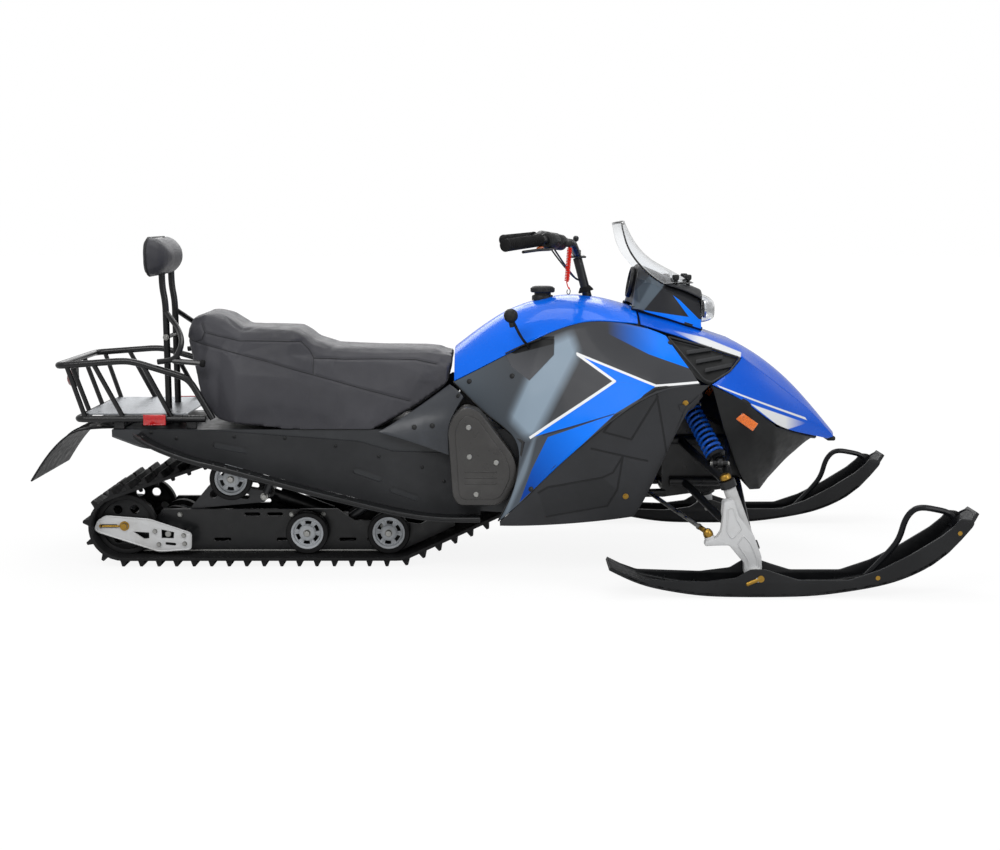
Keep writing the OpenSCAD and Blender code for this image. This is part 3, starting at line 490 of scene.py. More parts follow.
def plate(outline, y0, y1, holes=(), edge=1.2, fillet=0.0):
    """A flat plate in the side view between y0 and y1, with softened edges and through holes."""
    data = bpy.data.curves.new("plate", "CURVE")
    data.dimensions = "2D"
    data.fill_mode = "BOTH"
    data.extrude = abs(y1 - y0) / 2 * MM - edge * MM
    data.bevel_depth = edge * MM
    data.bevel_resolution = 1
    data.offset = -edge * MM
    loops = [[Vector((x, z, 0)) * MM for x, z in loop] for loop in (outline, *holes)]
    if fillet:
        loops[0] = rounded(loops[0], fillet * MM, True, 3)
    for loop in loops:
        add_line(data, loop, True)
    mesh = curve_mesh(data)
    mesh.transform(Matrix.Translation((0, (y0 + y1) / 2 * MM, 0)) @ Matrix.Rotation(pi / 2, 4, "X"))
    bm = bmesh.new()
    bm.from_mesh(mesh)
    bpy.data.meshes.remove(mesh)
    bmesh.ops.remove_doubles(bm, verts=bm.verts, dist=WELD)
    bmesh.ops.recalc_face_normals(bm, faces=bm.faces)
    return mesh_of(bm)


def arc(centre, radius, start, end, steps):
    """Points on an arc between two angles in degrees, both ends included."""
    angles = [radians(start + (end - start) * k / steps) for k in range(steps + 1)]
    return [(centre[0] + radius * cos(a), centre[1] + radius * sin(a)) for a in angles]


def ring(x, z, d, n=24):
    """Outline of a round hole or disc."""
    return arc((x, z), d / 2, 0, 360, n)[:-1]


def slot_hole(a, b, d):
    """Outline of a slot with round ends, centred on two points."""
    turn = degrees(atan2(b[1] - a[1], b[0] - a[0]))
    return arc(b, d / 2, turn - 90, turn + 90, 8) + arc(a, d / 2, turn + 90, turn + 270, 8)


def aimed(origin, direction):
    """Places a shape made along +Z at an origin in millimetres, pointing along a direction."""
    return Matrix.Translation(spot(*origin)) @ Vector(direction).to_track_quat("Z", "Y").to_matrix().to_4x4()


def turned(profile, origin=(0, 0, 0), direction=(0, 0, 1), steps=32):
    """A lathe-turned part from (radius, height) points in millimetres, turned about a direction."""
    bm = bmesh.new()
    verts = [bm.verts.new((r * MM, 0, h * MM)) for r, h in profile]
    edges = [bm.edges.new(pair) for pair in zip(verts, verts[1:])]
    bmesh.ops.spin(bm, geom=verts + edges, cent=(0, 0, 0), axis=(0, 0, 1), angle=2 * pi, steps=steps,
                   use_merge=True)
    bmesh.ops.remove_doubles(bm, verts=bm.verts, dist=WELD)
    bmesh.ops.recalc_face_normals(bm, faces=bm.faces)
    bmesh.ops.transform(bm, matrix=aimed(origin, direction), verts=bm.verts)
    return mesh_of(bm)


def rod(p, q, diameter, edge=1.0, steps=20):
    """A turned round bar between two points, with eased ends."""
    length = (Vector(q) - Vector(p)).length
    r = diameter / 2
    return turned([(0, 0), (r - edge, 0), (r, edge), (r, length - edge), (r - edge, length), (0, length)],
                  p, Vector(q) - Vector(p), steps)


def block(low, high, edge=2.0, segments=2):
    """A box between two corners with bevelled edges."""
    bm = bmesh.new()
    bmesh.ops.create_cube(bm, size=1)
    size = [(b - a) * MM for a, b in zip(low, high)]
    centre = [(a + b) / 2 * MM for a, b in zip(low, high)]
    bmesh.ops.scale(bm, vec=size, verts=bm.verts)
    bmesh.ops.translate(bm, vec=centre, verts=bm.verts)
    bmesh.ops.bevel(bm, geom=bm.edges[:], offset=edge * MM, segments=segments, affect="EDGES", profile=0.5,
                    material=-1)
    return mesh_of(bm)


def bolt(origin, direction, across=13, height=6, washer=18):
    """A hexagon head on its washer."""
    bm = bmesh.new()
    bmesh.ops.create_cone(bm, cap_ends=True, segments=6, radius1=across * 0.577 * MM,
                          radius2=across * 0.577 * MM, depth=height * MM)
    bmesh.ops.translate(bm, vec=(0, 0, (height / 2 + 1.5) * MM), verts=bm.verts)
    bmesh.ops.bevel(bm, geom=bm.edges[:], offset=0.7 * MM, segments=1, affect="EDGES", profile=0.5,
                    material=-1)
    bmesh.ops.transform(bm, matrix=aimed(origin, direction), verts=bm.verts)
    disc = turned([(0, 0), (washer / 2 - 0.5, 0), (washer / 2, 0.6), (washer / 2 - 0.5, 1.6), (0, 1.6)],
                  origin, direction, 20)
    return several([mesh_of(bm), disc])


def helix(p, q, radius, wire, turns, per_turn):
    """A coil spring between two points."""
    axis = q - p
    place = aimed(p, axis)
    count = turns * per_turn
    points = []
    for k in range(count + 1):
        angle = 2 * pi * k / per_turn
        points.append(place @ spot(radius * cos(angle), radius * sin(angle), axis.length * k / count) / MM)
    return tube(points, wire, bend=0)


def skin(rows, thick, outward, level=3, sharp_rows=(), sharp_columns=(), pins=(), whole=False):
    """A moulded panel: a grid through rows of points, smoothed and given its thickness inwards.

    Whole panels are given as their left half; sharp rows, columns and pins keep their creases and corners.
    """
    if whole:
        rows = [[(x, -y, z) for x, y, z in reversed(r[1:])] + list(r) for r in rows]
    ny, nx = len(rows), len(rows[0])
    bm = bmesh.new()
    bmesh.ops.create_grid(bm, x_segments=nx - 1, y_segments=ny - 1, size=1)
    bm.verts.ensure_lookup_table()
    for j, r in enumerate(rows):
        for i, p in enumerate(r):
            bm.verts[j * nx + i].co = spot(*p)
    bm.normal_update()
    if sum((f.normal * f.calc_area() for f in bm.faces), Vector()).dot(Vector(outward)) < 0:
        bmesh.ops.reverse_faces(bm, faces=bm.faces)
    crease = bm.edges.layers.float.new("crease_edge")
    pin = bm.verts.layers.float.new("crease_vert")
    for edge in bm.edges:
        a, b = edge.verts[0].index, edge.verts[1].index
        if a // nx == b // nx and a // nx in sharp_rows:
            edge[crease] = 1.0
        if a % nx == b % nx and a % nx in sharp_columns:
            edge[crease] = 1.0
    for j, i in [(0, 0), (0, nx - 1), (ny - 1, 0), (ny - 1, nx - 1)] + list(pins):
        bm.verts[j * nx + i][pin] = 1.0
    return wear_modifiers(mesh_of(bm), ("SUBSURF", {"levels": level, "render_levels": level}),
                          ("SOLIDIFY", {"thickness": thick * MM, "offset": -1, "use_even_offset": True}),
                          ("BEVEL", {"width": min(1.2, thick * 0.3) * MM, "segments": 2,
                                     "limit_method": "ANGLE", "angle_limit": radians(50)}))


def dress(node, finish):
    """Gives a CAD node its finish."""
    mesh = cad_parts[node].data
    mesh.materials.clear()
    mesh.materials.append(finish.mat)


make_camera()


# ---------- tether cord of the stop switch ----------
CORD_RED = gloss_paint("cord_red", "ee2a14", coat=0.4)
CLIP_BLACK = grained_plastic("clip_black", "19191b")


def make_tether():
    """The coiled lanyard of the stop switch, from its plug down to its clip."""
    top, foot = Vector((228, -176, 896.4)), Vector((221, -172, 802))
    turns, per_turn, radius, wire = 22, 14, 5.8, 3.2
    place = aimed(top, foot - top)
    count = turns * per_turn
    points = []
    for k in range(count + 1):
        t = k / count
        r = radius * min(1, 0.3 + t * turns, 0.3 + (1 - t) * turns)
        angle = 2 * pi * turns * t
        points.append(place @ spot(r * cos(angle), r * sin(angle), (foot - top).length * t))
    points += [spot(221.4, -171.8, 797), spot(222.6, -171.3, 792), spot(224.6, -170.6, 787.5),
               spot(227, -170, 784)]
    data = bpy.data.curves.new("tether_cord", "CURVE")
    data.dimensions = "3D"
    data.bevel_depth = wire / 2 * MM
    data.bevel_resolution = 2
    data.use_fill_caps = True
    add_line(data, points)
    data.materials.append(CORD_RED.mat)
    cord = bpy.data.objects.new("tether_cord", data)
    bpy.context.collection.objects.link(cord)
    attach(cord, "steering")
    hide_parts("lanyard_coil", "lanyard_cord")
    hook = [(227, -170, 784), (231, -168, 778), (230, -166, 769), (225, -165, 766), (221, -166, 772),
            (223, -169, 780)]
    clip = piece("tether_clip", [
        (tube(hook, 2.4, bend=4, sides=8), CLIP_BLACK),
        (rod((226.4, -170.4, 786.4), (227.8, -169.6, 781.4), 5), CORD_RED)], "steering")


make_tether()

# ---------- finishes ----------
BLUE = gloss_paint("blue_gloss", "0070fa")
BLACK_PLASTIC = grained_plastic("black_plastic", "28292b")
DEEP_PLASTIC = grained_plastic("deep_black_plastic", "151617", rough=0.45)
SHINY_BLACK = gloss_paint("shiny_black", "17181b", coat=0.6)
FRAME_BLACK = satin_paint("frame_black", "141517", rough=0.34)
RACK_BLACK = satin_paint("rack_black", "0f1012", rough=0.25)
TUNNEL_DARK = satin_paint("tunnel_charcoal", "2b2d30", rough=0.4)
ARM_GREY = satin_paint("arm_dark_grey", "303134", rough=0.36)
TRACK_RUBBER = rubber("track_rubber", "1a1a1b")
TYRE_RUBBER = rubber("tyre_rubber", "161617", rough=0.55)
FLAP_RUBBER = rubber("flap_rubber", "17181a", rough=0.5, scuff=0.2)
GRIP_RUBBER = rubber("grip_rubber", "0c0c0d", rough=0.7, scuff=0.1)
VINYL = vinyl("seat_vinyl", "323237")
PIPING = vinyl("seam_vinyl", "141416")
WHEEL_GREY = satin_paint("wheel_grey", "b9bdc1", rough=0.35, dust="8c8f92")
WHITE_ALLOY = satin_paint("white_alloy", "cdcecf", rough=0.3, dust="a3a19a")
STEEL = bare_metal("zinc_steel", "a9a9a6", rough=0.28)
ALLOY_SHEET = bare_metal("alloy_sheet", "b4b8bd", stretch=(1, 30, 1))
GOLD = bare_metal("gold_zinc", "b08a3f")
CHROME = bare_metal("chrome", "d6d8db", rough=0.08)
SPRING_BLUE = gloss_paint("spring_blue", "1452b4", coat=0.8)
CLEAR = clear_sheet("clear_sheet", "eef3f8")
LAMP_CLEAR = clear_sheet("lamp_clear", "f4f7fa")
RED_LENS = lens("red_lens", "dc0009")
ORANGE_LENS = lens("orange_lens", "ff7a0a")
DARK_LENS = lens("tail_lens", "7d1010")
SKI_BLACK = grained_plastic("ski_black", "111214", rough=0.4)
TRIM_SLATE = satin_paint("trim_slate", "34373c", rough=0.42)
# The glossy black belt covers are given a lighter grey: a painted reflection.
SHEEN_PAINTED_COVER = satin_paint("cover_black_painted_sheen", "3b3a39", rough=0.32)
DIAL = gloss_paint("dial_black", "0a0a0c", coat=1.0)
CAST = bare_metal("cast_grey", "6c6f73", rough=0.5)


def side_panel_paint():
    """Silver to charcoal sweep with blue fields and white lines, drawn in the side view, with painted shade
    in the groove and in the sunk gear pocket, and a painted shadow under the pocket's rim.
    """
    f = Finish("side_panel_paint", Specular_IOR_Level=0.1, Coat_Weight=0.06, Coat_Roughness=0.08)
    charcoal = f.mix(f.noise(6, 3), rgb("3c3d40"), rgb("47484b"))
    slate = f.mix(f.span(f.along(UP), 0.43, 0.62), rgb("4e565e"), rgb("5c666f"))
    colour = f.mix(f.span(f.along((-0.86, 0, -0.5)), -0.42, -0.16), charcoal, slate)
    sweep = f.region([(150, 628), (232, 664), (252, 612), (134, 391), (112, 384), (60, 434), (88, 500)], 14)
    colour = f.mix(f.product(sweep, 0.9), colour, rgb("94a6b6"))
    tail = f.region([(120, 380), (136, 398), (112, 300), (50, 168), (30, 160), (96, 312)], 5)
    colour = f.mix(tail, colour, rgb("76828d"))
    wedge = f.region([(252, 606), (345, 541), (126, 394), (138, 398)])
    colour = f.mix(wedge, colour, rgb("48494c"))
    deepening = f.mix(f.span(f.along((0.75, 0, 0.66)), 0.24, 0.46), rgb("0a3f98"), rgb(FIELD_BLUE))
    colour = f.mix(f.region([(166, 388), (345, 458), (89, 214), (122, 300)]), colour, deepening)
    band = f.region([(300, 706), (500, 664), (584, 556), (572, 547), (438, 612), (320, 652)])
    for field in (f.region([(256, 605), (456, 528), (349, 541)]),
                  f.region([(349, 541), (456, 528), (343, 457), (128, 387)]),
                  f.product(band, f.span(f.along(FORWARD), 0.33, 0.47))):
        colour = f.mix(field, colour, rgb(FIELD_BLUE))
    lines = f.either([f.stripe(a, b, width, 2.5) for a, b, width in (
        ((247, 610), (454, 532), 6), ((452, 532), (574, 541), 6), ((249, 607), (345, 541), 7),
        ((345, 541), (119, 385), 7))])
    colour = f.mix(lines, colour, rgb("f2f3f4"))
    groove = f.stripe((152, 392), (343, 457), 3)
    # The groove is darkened as painted shade in the crease.
    colour = f.mix(f.product(groove, 0.8), colour, rgb("1d2b4a"))
    pocket = f.region([(50, 604), (145, 645), (186, 645), (184, 605), (117, 535), (68, 570)], 1.2)
    # The pocket's grey floor darkens towards its upper edge: painted shade under the rim.
    floor = f.mix(f.span(f.along((0.5, 0, 0.86)), 0.52, 0.62), rgb("55565a"), rgb("37393c"))
    colour = f.mix(pocket, colour, floor)
    # A near-black band along the pocket's upper edge: painted shadow under the rim of the shift gate.
    pocket_mouth_shadow = f.region([(58, 608), (78, 604), (184, 634), (186, 655), (145, 650)], 1.0)
    f.colour(f.mix(pocket_mouth_shadow, colour, rgb("08090a")))
    f.roughness(40, 3, 0.3, 0.42)
    f.sunk(pocket, 0.6, 0.004)
    f.bump(f.noise(500, 2), 0.06, 0.0003)
    f.sunk(groove, 0.5, 0.001)
    return f


def shaded_hood_paint():
    """Blue darkened as painted shade, as the hood faces down and forward, with the white flashes along the
    vent and the lower edge; the lowest flash, along the lower edge, is a painted highlight.
    """
    f = Finish("shaded_hood_paint", Specular_IOR_Level=0.1, Coat_Weight=0.3, Coat_Roughness=0.03)
    # The base blue is darker than the tank's blue: painted shade where the hood faces down and forward.
    colour = f.mix(f.noise(5, 2), rgb("0254d0"), rgb("0260e0"))
    by_vent = f.region([(505, 672), (600, 650), (700, 610), (684, 592), (590, 632)], 1.0)
    # The white flash along the lower edge (low) is a painted highlight, fading towards the nose.
    low = f.region([(712, 480), (826, 392), (905, 402), (880, 412)], 1.2)
    for flash in (f.product(by_vent, f.span(f.along(FORWARD), 0.51, 0.585),
                            f.span(f.off_middle(), 0.12, 0.2)),
                  f.region([(618, 533), (626, 526), (905, 410), (898, 419)], 0.8),
                  f.product(low, f.span(f.along(FORWARD), 0.9, 0.83))):
        colour = f.mix(flash, colour, rgb("eef0f2"))
    f.colour(colour)
    f.roughness(28, 4, 0.2, 0.3)
    f.bump(f.noise(420, 2), 0.05, 0.0004)
    return f


def belly_plastic():
    """Grained black with the pressed outlines of the lower side panel, darkened as painted shade in their
    grooves, and one facet darkened as painted shade.
    """
    f = Finish("belly_plastic", Specular_IOR_Level=0.28)
    lines = f.either([f.stripe(a, b, 5, 1) for points in (
        [(458, 504), (388, 388), (314, 408), (347, 454)], [(281, 363), (433, 329)],
        [(366, 342), (340, 297), (313, 284), (165, 256), (139, 240)],
        [(353, 249), (327, 203), (161, 173)], [(486, 343), (453, 521)], [(353, 249), (366, 342)])
        for a, b in zip(points, points[1:])])
    facet = f.region([(166, 256), (313, 284), (353, 249), (327, 203), (161, 175), (140, 240)], 3)
    colour = f.mix(f.span(f.noise(7, 4), 0.35, 0.7), rgb("28292b"), rgb("303134"))
    # The facet between the pressed lines is darkened: painted shade for the way it faces.
    colour = f.mix(f.product(facet, 0.5), colour, rgb("1d1e20"))
    # The pressed outlines are darkened: painted shade in their grooves.
    f.colour(f.mix(f.product(lines, 0.75), colour, rgb("0f1011")))
    f.roughness(60, 3, 0.42, 0.56)
    f.sunk(lines, 0.8, 0.002)
    f.bump(f.noise(900, 2), 0.15, 0.0003)
    return f


def pod_paint():
    """Charcoal pod with its slate rear facet and the blue flash by the lamp."""
    f = Finish("pod_paint", Specular_IOR_Level=0.12, Coat_Weight=0.06, Coat_Roughness=0.1)
    side = f.span(f.off_middle(), 0.085, 0.1)
    facet = f.region([(380, 745), (428, 712), (500, 794), (470, 830), (440, 800)], 1.5)
    shadow = f.region([(400, 760), (425, 740), (462, 800), (440, 830)], 3)
    colour = f.mix(f.noise(6, 3), rgb("26272a"), rgb("2f3033"))
    colour = f.mix(f.product(facet, side, 0.85), colour, rgb("5c6872"))
    colour = f.mix(f.product(shadow, side, 0.7), colour, rgb("2a333d"))
    for flash in ([(520, 762), (540, 748), (600, 690), (566, 700)],
                  [(436, 722), (566, 702), (616, 690), (600, 668), (450, 706)]):
        colour = f.mix(f.region(flash), colour, rgb(FIELD_BLUE))
    f.colour(colour)
    f.roughness(50, 3, 0.34, 0.46)
    f.bump(f.noise(800, 2), 0.12, 0.0003)
    return f


SIDE_PAINT = side_panel_paint()
BELLY_PLASTIC = belly_plastic()
POD_PAINT = pod_paint()
SHADED_HOOD_PAINT = shaded_hood_paint()

# ---------- cowl ----------
TANK_ROWS = [
    [(-92, 0, 611), (-92, 70, 603), (-92, 120, 575), (-92, 150, 525)],
    [(-35, 0, 657), (-32, 75, 648), (-26, 130, 612), (-19, 165, 563)],
    [(37, 0, 707), (40, 80, 697), (48, 140, 655), (56, 180, 604)],
    [(95, 0, 734), (98, 85, 722), (108, 150, 684), (120, 190, 638)],
    [(160, 0, 752), (163, 90, 742), (174, 158, 712), (185, 200, 672)],
    [(230, 0, 764), (235, 95, 754), (248, 165, 732), (264, 210, 697)],
    [(326, 0, 755), (324, 95, 748), (322, 165, 732), (319, 215, 700)],
    [(418, 0, 723), (418, 95, 724), (416, 165, 716), (414, 220, 692)]]
HOOD_ROWS = [
    [(422, 0, 721), (422, 95, 722), (422, 165, 713), (422, 219, 690)],
    [(520, 0, 694), (520, 95, 697), (520, 170, 690), (520, 227, 660)],
    [(616, 0, 657), (616, 95, 660), (620, 175, 650), (630, 243, 622)],
    [(700, 0, 628), (702, 85, 632), (706, 160, 622), (698, 248, 600)],
    [(753, 0, 600), (760, 70, 600), (775, 130, 586), (780, 190, 540)],
    [(836, 0, 542), (845, 50, 538), (855, 95, 520), (862, 140, 478)],
    [(911, 0, 466), (918, 38, 463), (924, 70, 450), (930, 100, 426)],
    [(1004, 0, 363), (1004, 20, 362), (1002, 38, 359), (998, 55, 353)]]
WING_ROWS = [
    [(698, 249, 599), (676, 274, 580), (656, 296, 562), (606, 321, 534)],
    [(780, 191, 539), (764, 230, 534), (745, 262, 520), (704, 303, 487)],
    [(862, 141, 477), (848, 170, 468), (835, 195, 455), (801, 231, 403)],
    [(930, 101, 425), (926, 109, 414), (920, 115, 400), (911, 122, 369)],
    [(998, 56, 352), (994, 57, 351), (990, 58, 350), (980, 60, 347)]]
NOSE_ROWS = [
    [(745, 0, 213), (745, 140, 213), (702, 226, 268), (644, 290, 410), (606, 318, 530)],
    [(775, 0, 213), (775, 132, 213), (748, 204, 290), (728, 264, 396), (702, 300, 483)],
    [(802, 0, 242), (802, 112, 242), (803, 162, 276), (802, 206, 340), (798, 228, 399)],
    [(864, 0, 304), (864, 92, 304), (876, 106, 316), (891, 112, 336), (906, 118, 363)],
    [(926, 0, 350), (926, 46, 350), (932, 49, 350), (938, 52, 350), (946, 55, 351)]]
PANEL_ROWS = [
    [(-92, 150, 522), (-70, 165, 503), (-45, 182, 480), (-16, 200, 454)],
    [(-19, 165, 560), (-10, 186, 518), (0, 204, 472), (10, 220, 434)],
    [(56, 180, 601), (52, 205, 540), (46, 222, 480), (39, 240, 415)],
    [(120, 190, 635), (120, 230, 560), (110, 262, 470), (100, 292, 370)],
    [(185, 200, 669), (185, 245, 580), (150, 285, 430), (79, 310, 242)],
    [(230, 207, 683), (215, 258, 560), (150, 300, 360), (34, 323, 163)],
    [(264, 210, 694), (250, 262, 580), (190, 305, 400), (104, 330, 223)],
    [(319, 215, 697), (310, 270, 600), (270, 310, 480), (182, 335, 311)],
    [(414, 221, 687), (404, 280, 620), (378, 318, 540), (344, 345, 449)],
    [(474, 229, 665), (470, 285, 620), (462, 320, 575), (452, 345, 524)],
    [(490, 235, 657), (518, 276, 612), (546, 305, 575), (572, 328, 535)]]
BELLY_ROWS = [
    [(36, 324, 159), (36, 322, 155), (36, 320, 151), (36, 318, 147)],
    [(106, 326, 224), (100, 330, 190), (95, 325, 160), (90, 318, 146)],
    [(184, 331, 313), (185, 336, 250), (190, 330, 195), (200, 318, 150)],
    [(346, 340, 452), (340, 346, 340), (335, 338, 240), (330, 318, 162)],
    [(453, 340, 527), (440, 346, 400), (425, 336, 260), (400, 316, 172)],
    [(520, 334, 533), (500, 342, 440), (480, 335, 340), (440, 320, 235)],
    [(598, 322, 532), (578, 327, 513), (555, 332, 494), (532, 335, 472)]]
TRIM_ROWS = [
    [(-104, 158, 517), (-80, 205, 506), (-66, 240, 492)],
    [(-160, 186, 478), (-120, 222, 462), (-95, 246, 441)],
    [(-226, 208, 433), (-160, 232, 422), (-109, 249, 405)],
    [(-300, 226, 391), (-200, 236, 364), (-104, 250, 330)]]
POD_ROWS = [
    [(412, 0, 735), (411, 60, 734), (408, 108, 733), (404, 142, 728)],
    [(434, 0, 846), (430, 60, 843), (418, 105, 810), (426, 147, 724)],
    [(480, 0, 830), (478, 70, 822), (476, 125, 790), (452, 152, 714.4)],
    [(520, 0, 812), (520, 75, 803), (520, 130, 764), (506, 154, 700)],
    [(560, 0, 796), (560, 70, 789), (560, 118, 750), (560, 150, 681)],
    [(602, 0, 778), (602, 60, 768), (602, 95, 735), (602, 124, 668)]]
SHIELD_ROWS = [
    [(392, 0, 968), (386, 80, 968), (372, 152, 962)],
    [(425, 0, 905), (412, 90, 905), (385, 168, 895)],
    [(470, 0, 860), (452, 90, 858), (420, 172, 848)],
    [(530, 0, 832), (505, 90, 828), (455, 168, 815)],
    [(604, 0, 790), (572, 84, 796), (488, 160, 795)]]


def right(rows):
    """Rows of points given for the left side, moved to the right."""
    return [[(x, -y, z) for x, y, z in r] for r in rows]


piece("tank_shell", [(skin(TANK_ROWS, 4, UP, whole=True), BLUE)], "sled", ["tank_cover"])
piece("hood_shell", [
    (skin(HOOD_ROWS, 4, UP, whole=True, sharp_rows=(3,)), SHADED_HOOD_PAINT),
    (both_sides(skin(right(WING_ROWS), 4, RIGHT)), SHADED_HOOD_PAINT)], "sled", ["hood"])
piece("nose_shell", [(skin(NOSE_ROWS, 4, (0.3, 0, -1), whole=True, sharp_rows=(1, 2, 3),
                           sharp_columns=(1, 3, 5, 7)), DEEP_PLASTIC)],
      "sled", ["nose_lower"])
piece("side_panel_shells",
      [(both_sides(skin(right(PANEL_ROWS), 4, RIGHT, pins=((5, 3),))), SIDE_PAINT)],
      "sled", ["side_panels"])
piece("belly_shells", [(both_sides(skin(right(BELLY_ROWS), 4, RIGHT, pins=((4, 3),))), BELLY_PLASTIC)],
      "sled", ["belly_panels"])
piece("trim_shells", [(both_sides(skin(right(TRIM_ROWS), 4, (0.1, -0.6, 0.6))), TRIM_SLATE)],
      "sled", ["trim_panels"])
piece("pod_shell", [(skin(POD_ROWS, 4, UP, whole=True, sharp_rows=(1,), sharp_columns=(1, 5)), POD_PAINT)],
      "sled", ["dash_pod"])
piece("shield", [(skin(SHIELD_ROWS, 3.2, (0.6, 0, 0.6), whole=True), CLEAR)], "sled",
      ["windshield"])

for node, finish in (("tunnel", TUNNEL_DARK), ("side_covers", BLACK_PLASTIC), ("running_boards", FRAME_BLACK),
                     ("belly_pan", BLACK_PLASTIC), ("front_frame", FRAME_BLACK), ("engine", CAST),
                     ("track", TRACK_RUBBER), ("slide_rails", FRAME_BLACK), ("rear_plates", WHITE_ALLOY),
                     ("bogie_wheels", WHEEL_GREY), ("carrier_wheels", WHEEL_GREY),
                     ("rear_idlers", DEEP_PLASTIC), ("drive_axle", DEEP_PLASTIC),
                     ("suspension_arms", ARM_GREY), ("rear_shock", FRAME_BLACK), ("seat", VINYL),
                     ("backrest_frame", RACK_BLACK), ("backrest_pad", VINYL), ("rear_rack", RACK_BLACK),
                     ("rack_base", RACK_BLACK), ("rack_plate", ALLOY_SHEET), ("snow_flap", FLAP_RUBBER),
                     ("tail_light", DARK_LENS), ("reflectors", RED_LENS), ("side_vents", DEEP_PLASTIC),
                     ("belt_covers", SHINY_BLACK), ("gauge", DIAL), ("headlight", LAMP_CLEAR),
                     ("fuel_cap", DEEP_PLASTIC), ("gear_lever", DEEP_PLASTIC), ("a_arms", FRAME_BLACK),
                     ("front_shocks", SPRING_BLUE), ("steering_column", FRAME_BLACK),
                     ("handlebar", FRAME_BLACK), ("grips", GRIP_RUBBER), ("controls", DEEP_PLASTIC),
                     ("tie_rod_right", GOLD), ("tie_rod_left", GOLD), ("spindle_right", WHITE_ALLOY),
                     ("spindle_left", WHITE_ALLOY), ("ski_right", SKI_BLACK), ("ski_left", SKI_BLACK)):
    dress(node, finish)

# ---------- track and skid ----------
IDLER, CARRIER, DRIVER = Vector((-1026, 113.3)), Vector((-725, 244)), Vector((30, 236))
WHEEL_R, WHEEL_Y, BOGIE_Z = 61, 133, 88.3
LOOP = [(IDLER, 86.3), (CARRIER, WHEEL_R + 0.3), (DRIVER, 78.3), (Vector((-250, BOGIE_Z)), WHEEL_R + 0.3)]
BELT, LUG = 9.0, 18.0


def track_line(spacing):
    """Points on the belt's inner face with their outward normals, evenly spaced round the loop."""
    normals = []
    for i, (centre, r) in enumerate(LOOP):
        ahead, r_next = LOOP[(i + 1) % len(LOOP)]
        run = ahead - centre
        lean = (r - r_next) / run.length
        run.normalize()
        normals.append(Vector((-run.y, run.x)) * (1 - lean * lean) ** 0.5 + run * lean)
    path = []
    for i, (centre, r) in enumerate(LOOP):
        start = atan2(normals[i - 1].y, normals[i - 1].x)
        turn = (start - atan2(normals[i].y, normals[i].x)) % (2 * pi)
        path += [centre + r * Vector((cos(start - turn * k / 24), sin(start - turn * k / 24)))
                 for k in range(25)]
    steps = [b - a for a, b in zip(path, path[1:] + path[:1])]
    total = sum(step.length for step in steps)
    count = round(total / spacing)
    line, walked, k = [], 0.0, 0
    for i in range(count):
        goal = total * i / count
        while walked + steps[k].length < goal:
            walked += steps[k].length
            k += 1
        along = steps[k].normalized()
        line.append((path[k] + along * (goal - walked), Vector((-along.y, along.x))))
    return line


def tread_block(half_length, y0, y1, height, tip):
    """One moulded lug standing on Z = 0, tapered to its tip."""
    bm = bmesh.new()
    bmesh.ops.create_cube(bm, size=1)
    bmesh.ops.scale(bm, vec=(2 * half_length * MM, (y1 - y0) * MM, height * MM), verts=bm.verts)
    bmesh.ops.translate(bm, vec=(0, (y0 + y1) / 2 * MM, height / 2 * MM), verts=bm.verts)
    top = [v for v in bm.verts if v.co.z > height * 0.5 * MM]
    bmesh.ops.scale(bm, vec=(tip / half_length, 1 - 6 / (y1 - y0), 1), verts=top,
                    space=Matrix.Translation((0, -(y0 + y1) / 2 * MM, 0)))
    bmesh.ops.bevel(bm, geom=[e for e in bm.edges if e.verts[0].co.z > 0 or e.verts[1].co.z > 0],
                    offset=1.2 * MM, segments=1, affect="EDGES", profile=0.5, material=-1)
    return mesh_of(bm)


def stood(mesh, point, normal):
    """A copy of a lug, placed on the belt."""
    copy = mesh.copy()
    along = Vector((normal.y, 0, -normal.x))
    out = Vector((normal.x, 0, normal.y))
    turn = Matrix((along, Vector((0, 1, 0)), out)).transposed().to_4x4()
    copy.transform(Matrix.Translation(Vector((point.x, 0, point.y)) * MM) @ turn)
    return copy


def make_track():
    fine = track_line(16)
    belt = plate([p + n * BELT for p, n in fine], -190, 190, holes=[[p for p, n in fine]], edge=0.8)
    wide = tread_block(9, -70, 70, LUG, 4)
    side = tread_block(9, -187, -82, LUG, 4)
    low = tread_block(9, -189, 189, 5, 7)
    tooth = tread_block(9, -81, -67, 20, 4)
    lugs = []
    for p, n in track_line(50):
        seat, root = p + n * (BELT - 0.5), p + n * 0.5
        lugs += [stood(wide, seat, n), stood(low, seat, n), both_sides(stood(side, seat, n)),
                 both_sides(stood(tooth, root, -n))]
    for mesh in (wide, side, low, tooth):
        bpy.data.meshes.remove(mesh)
    piece("track_belt", [(several([belt] + lugs), TRACK_RUBBER)], "sled", ["track"])


def kidney(x, z, inner, outer, start, end):
    """Outline of a curved slot between two radii and two angles in degrees."""
    return arc((x, z), outer, start, end, 5) + arc((x, z), inner, end, start, 5)


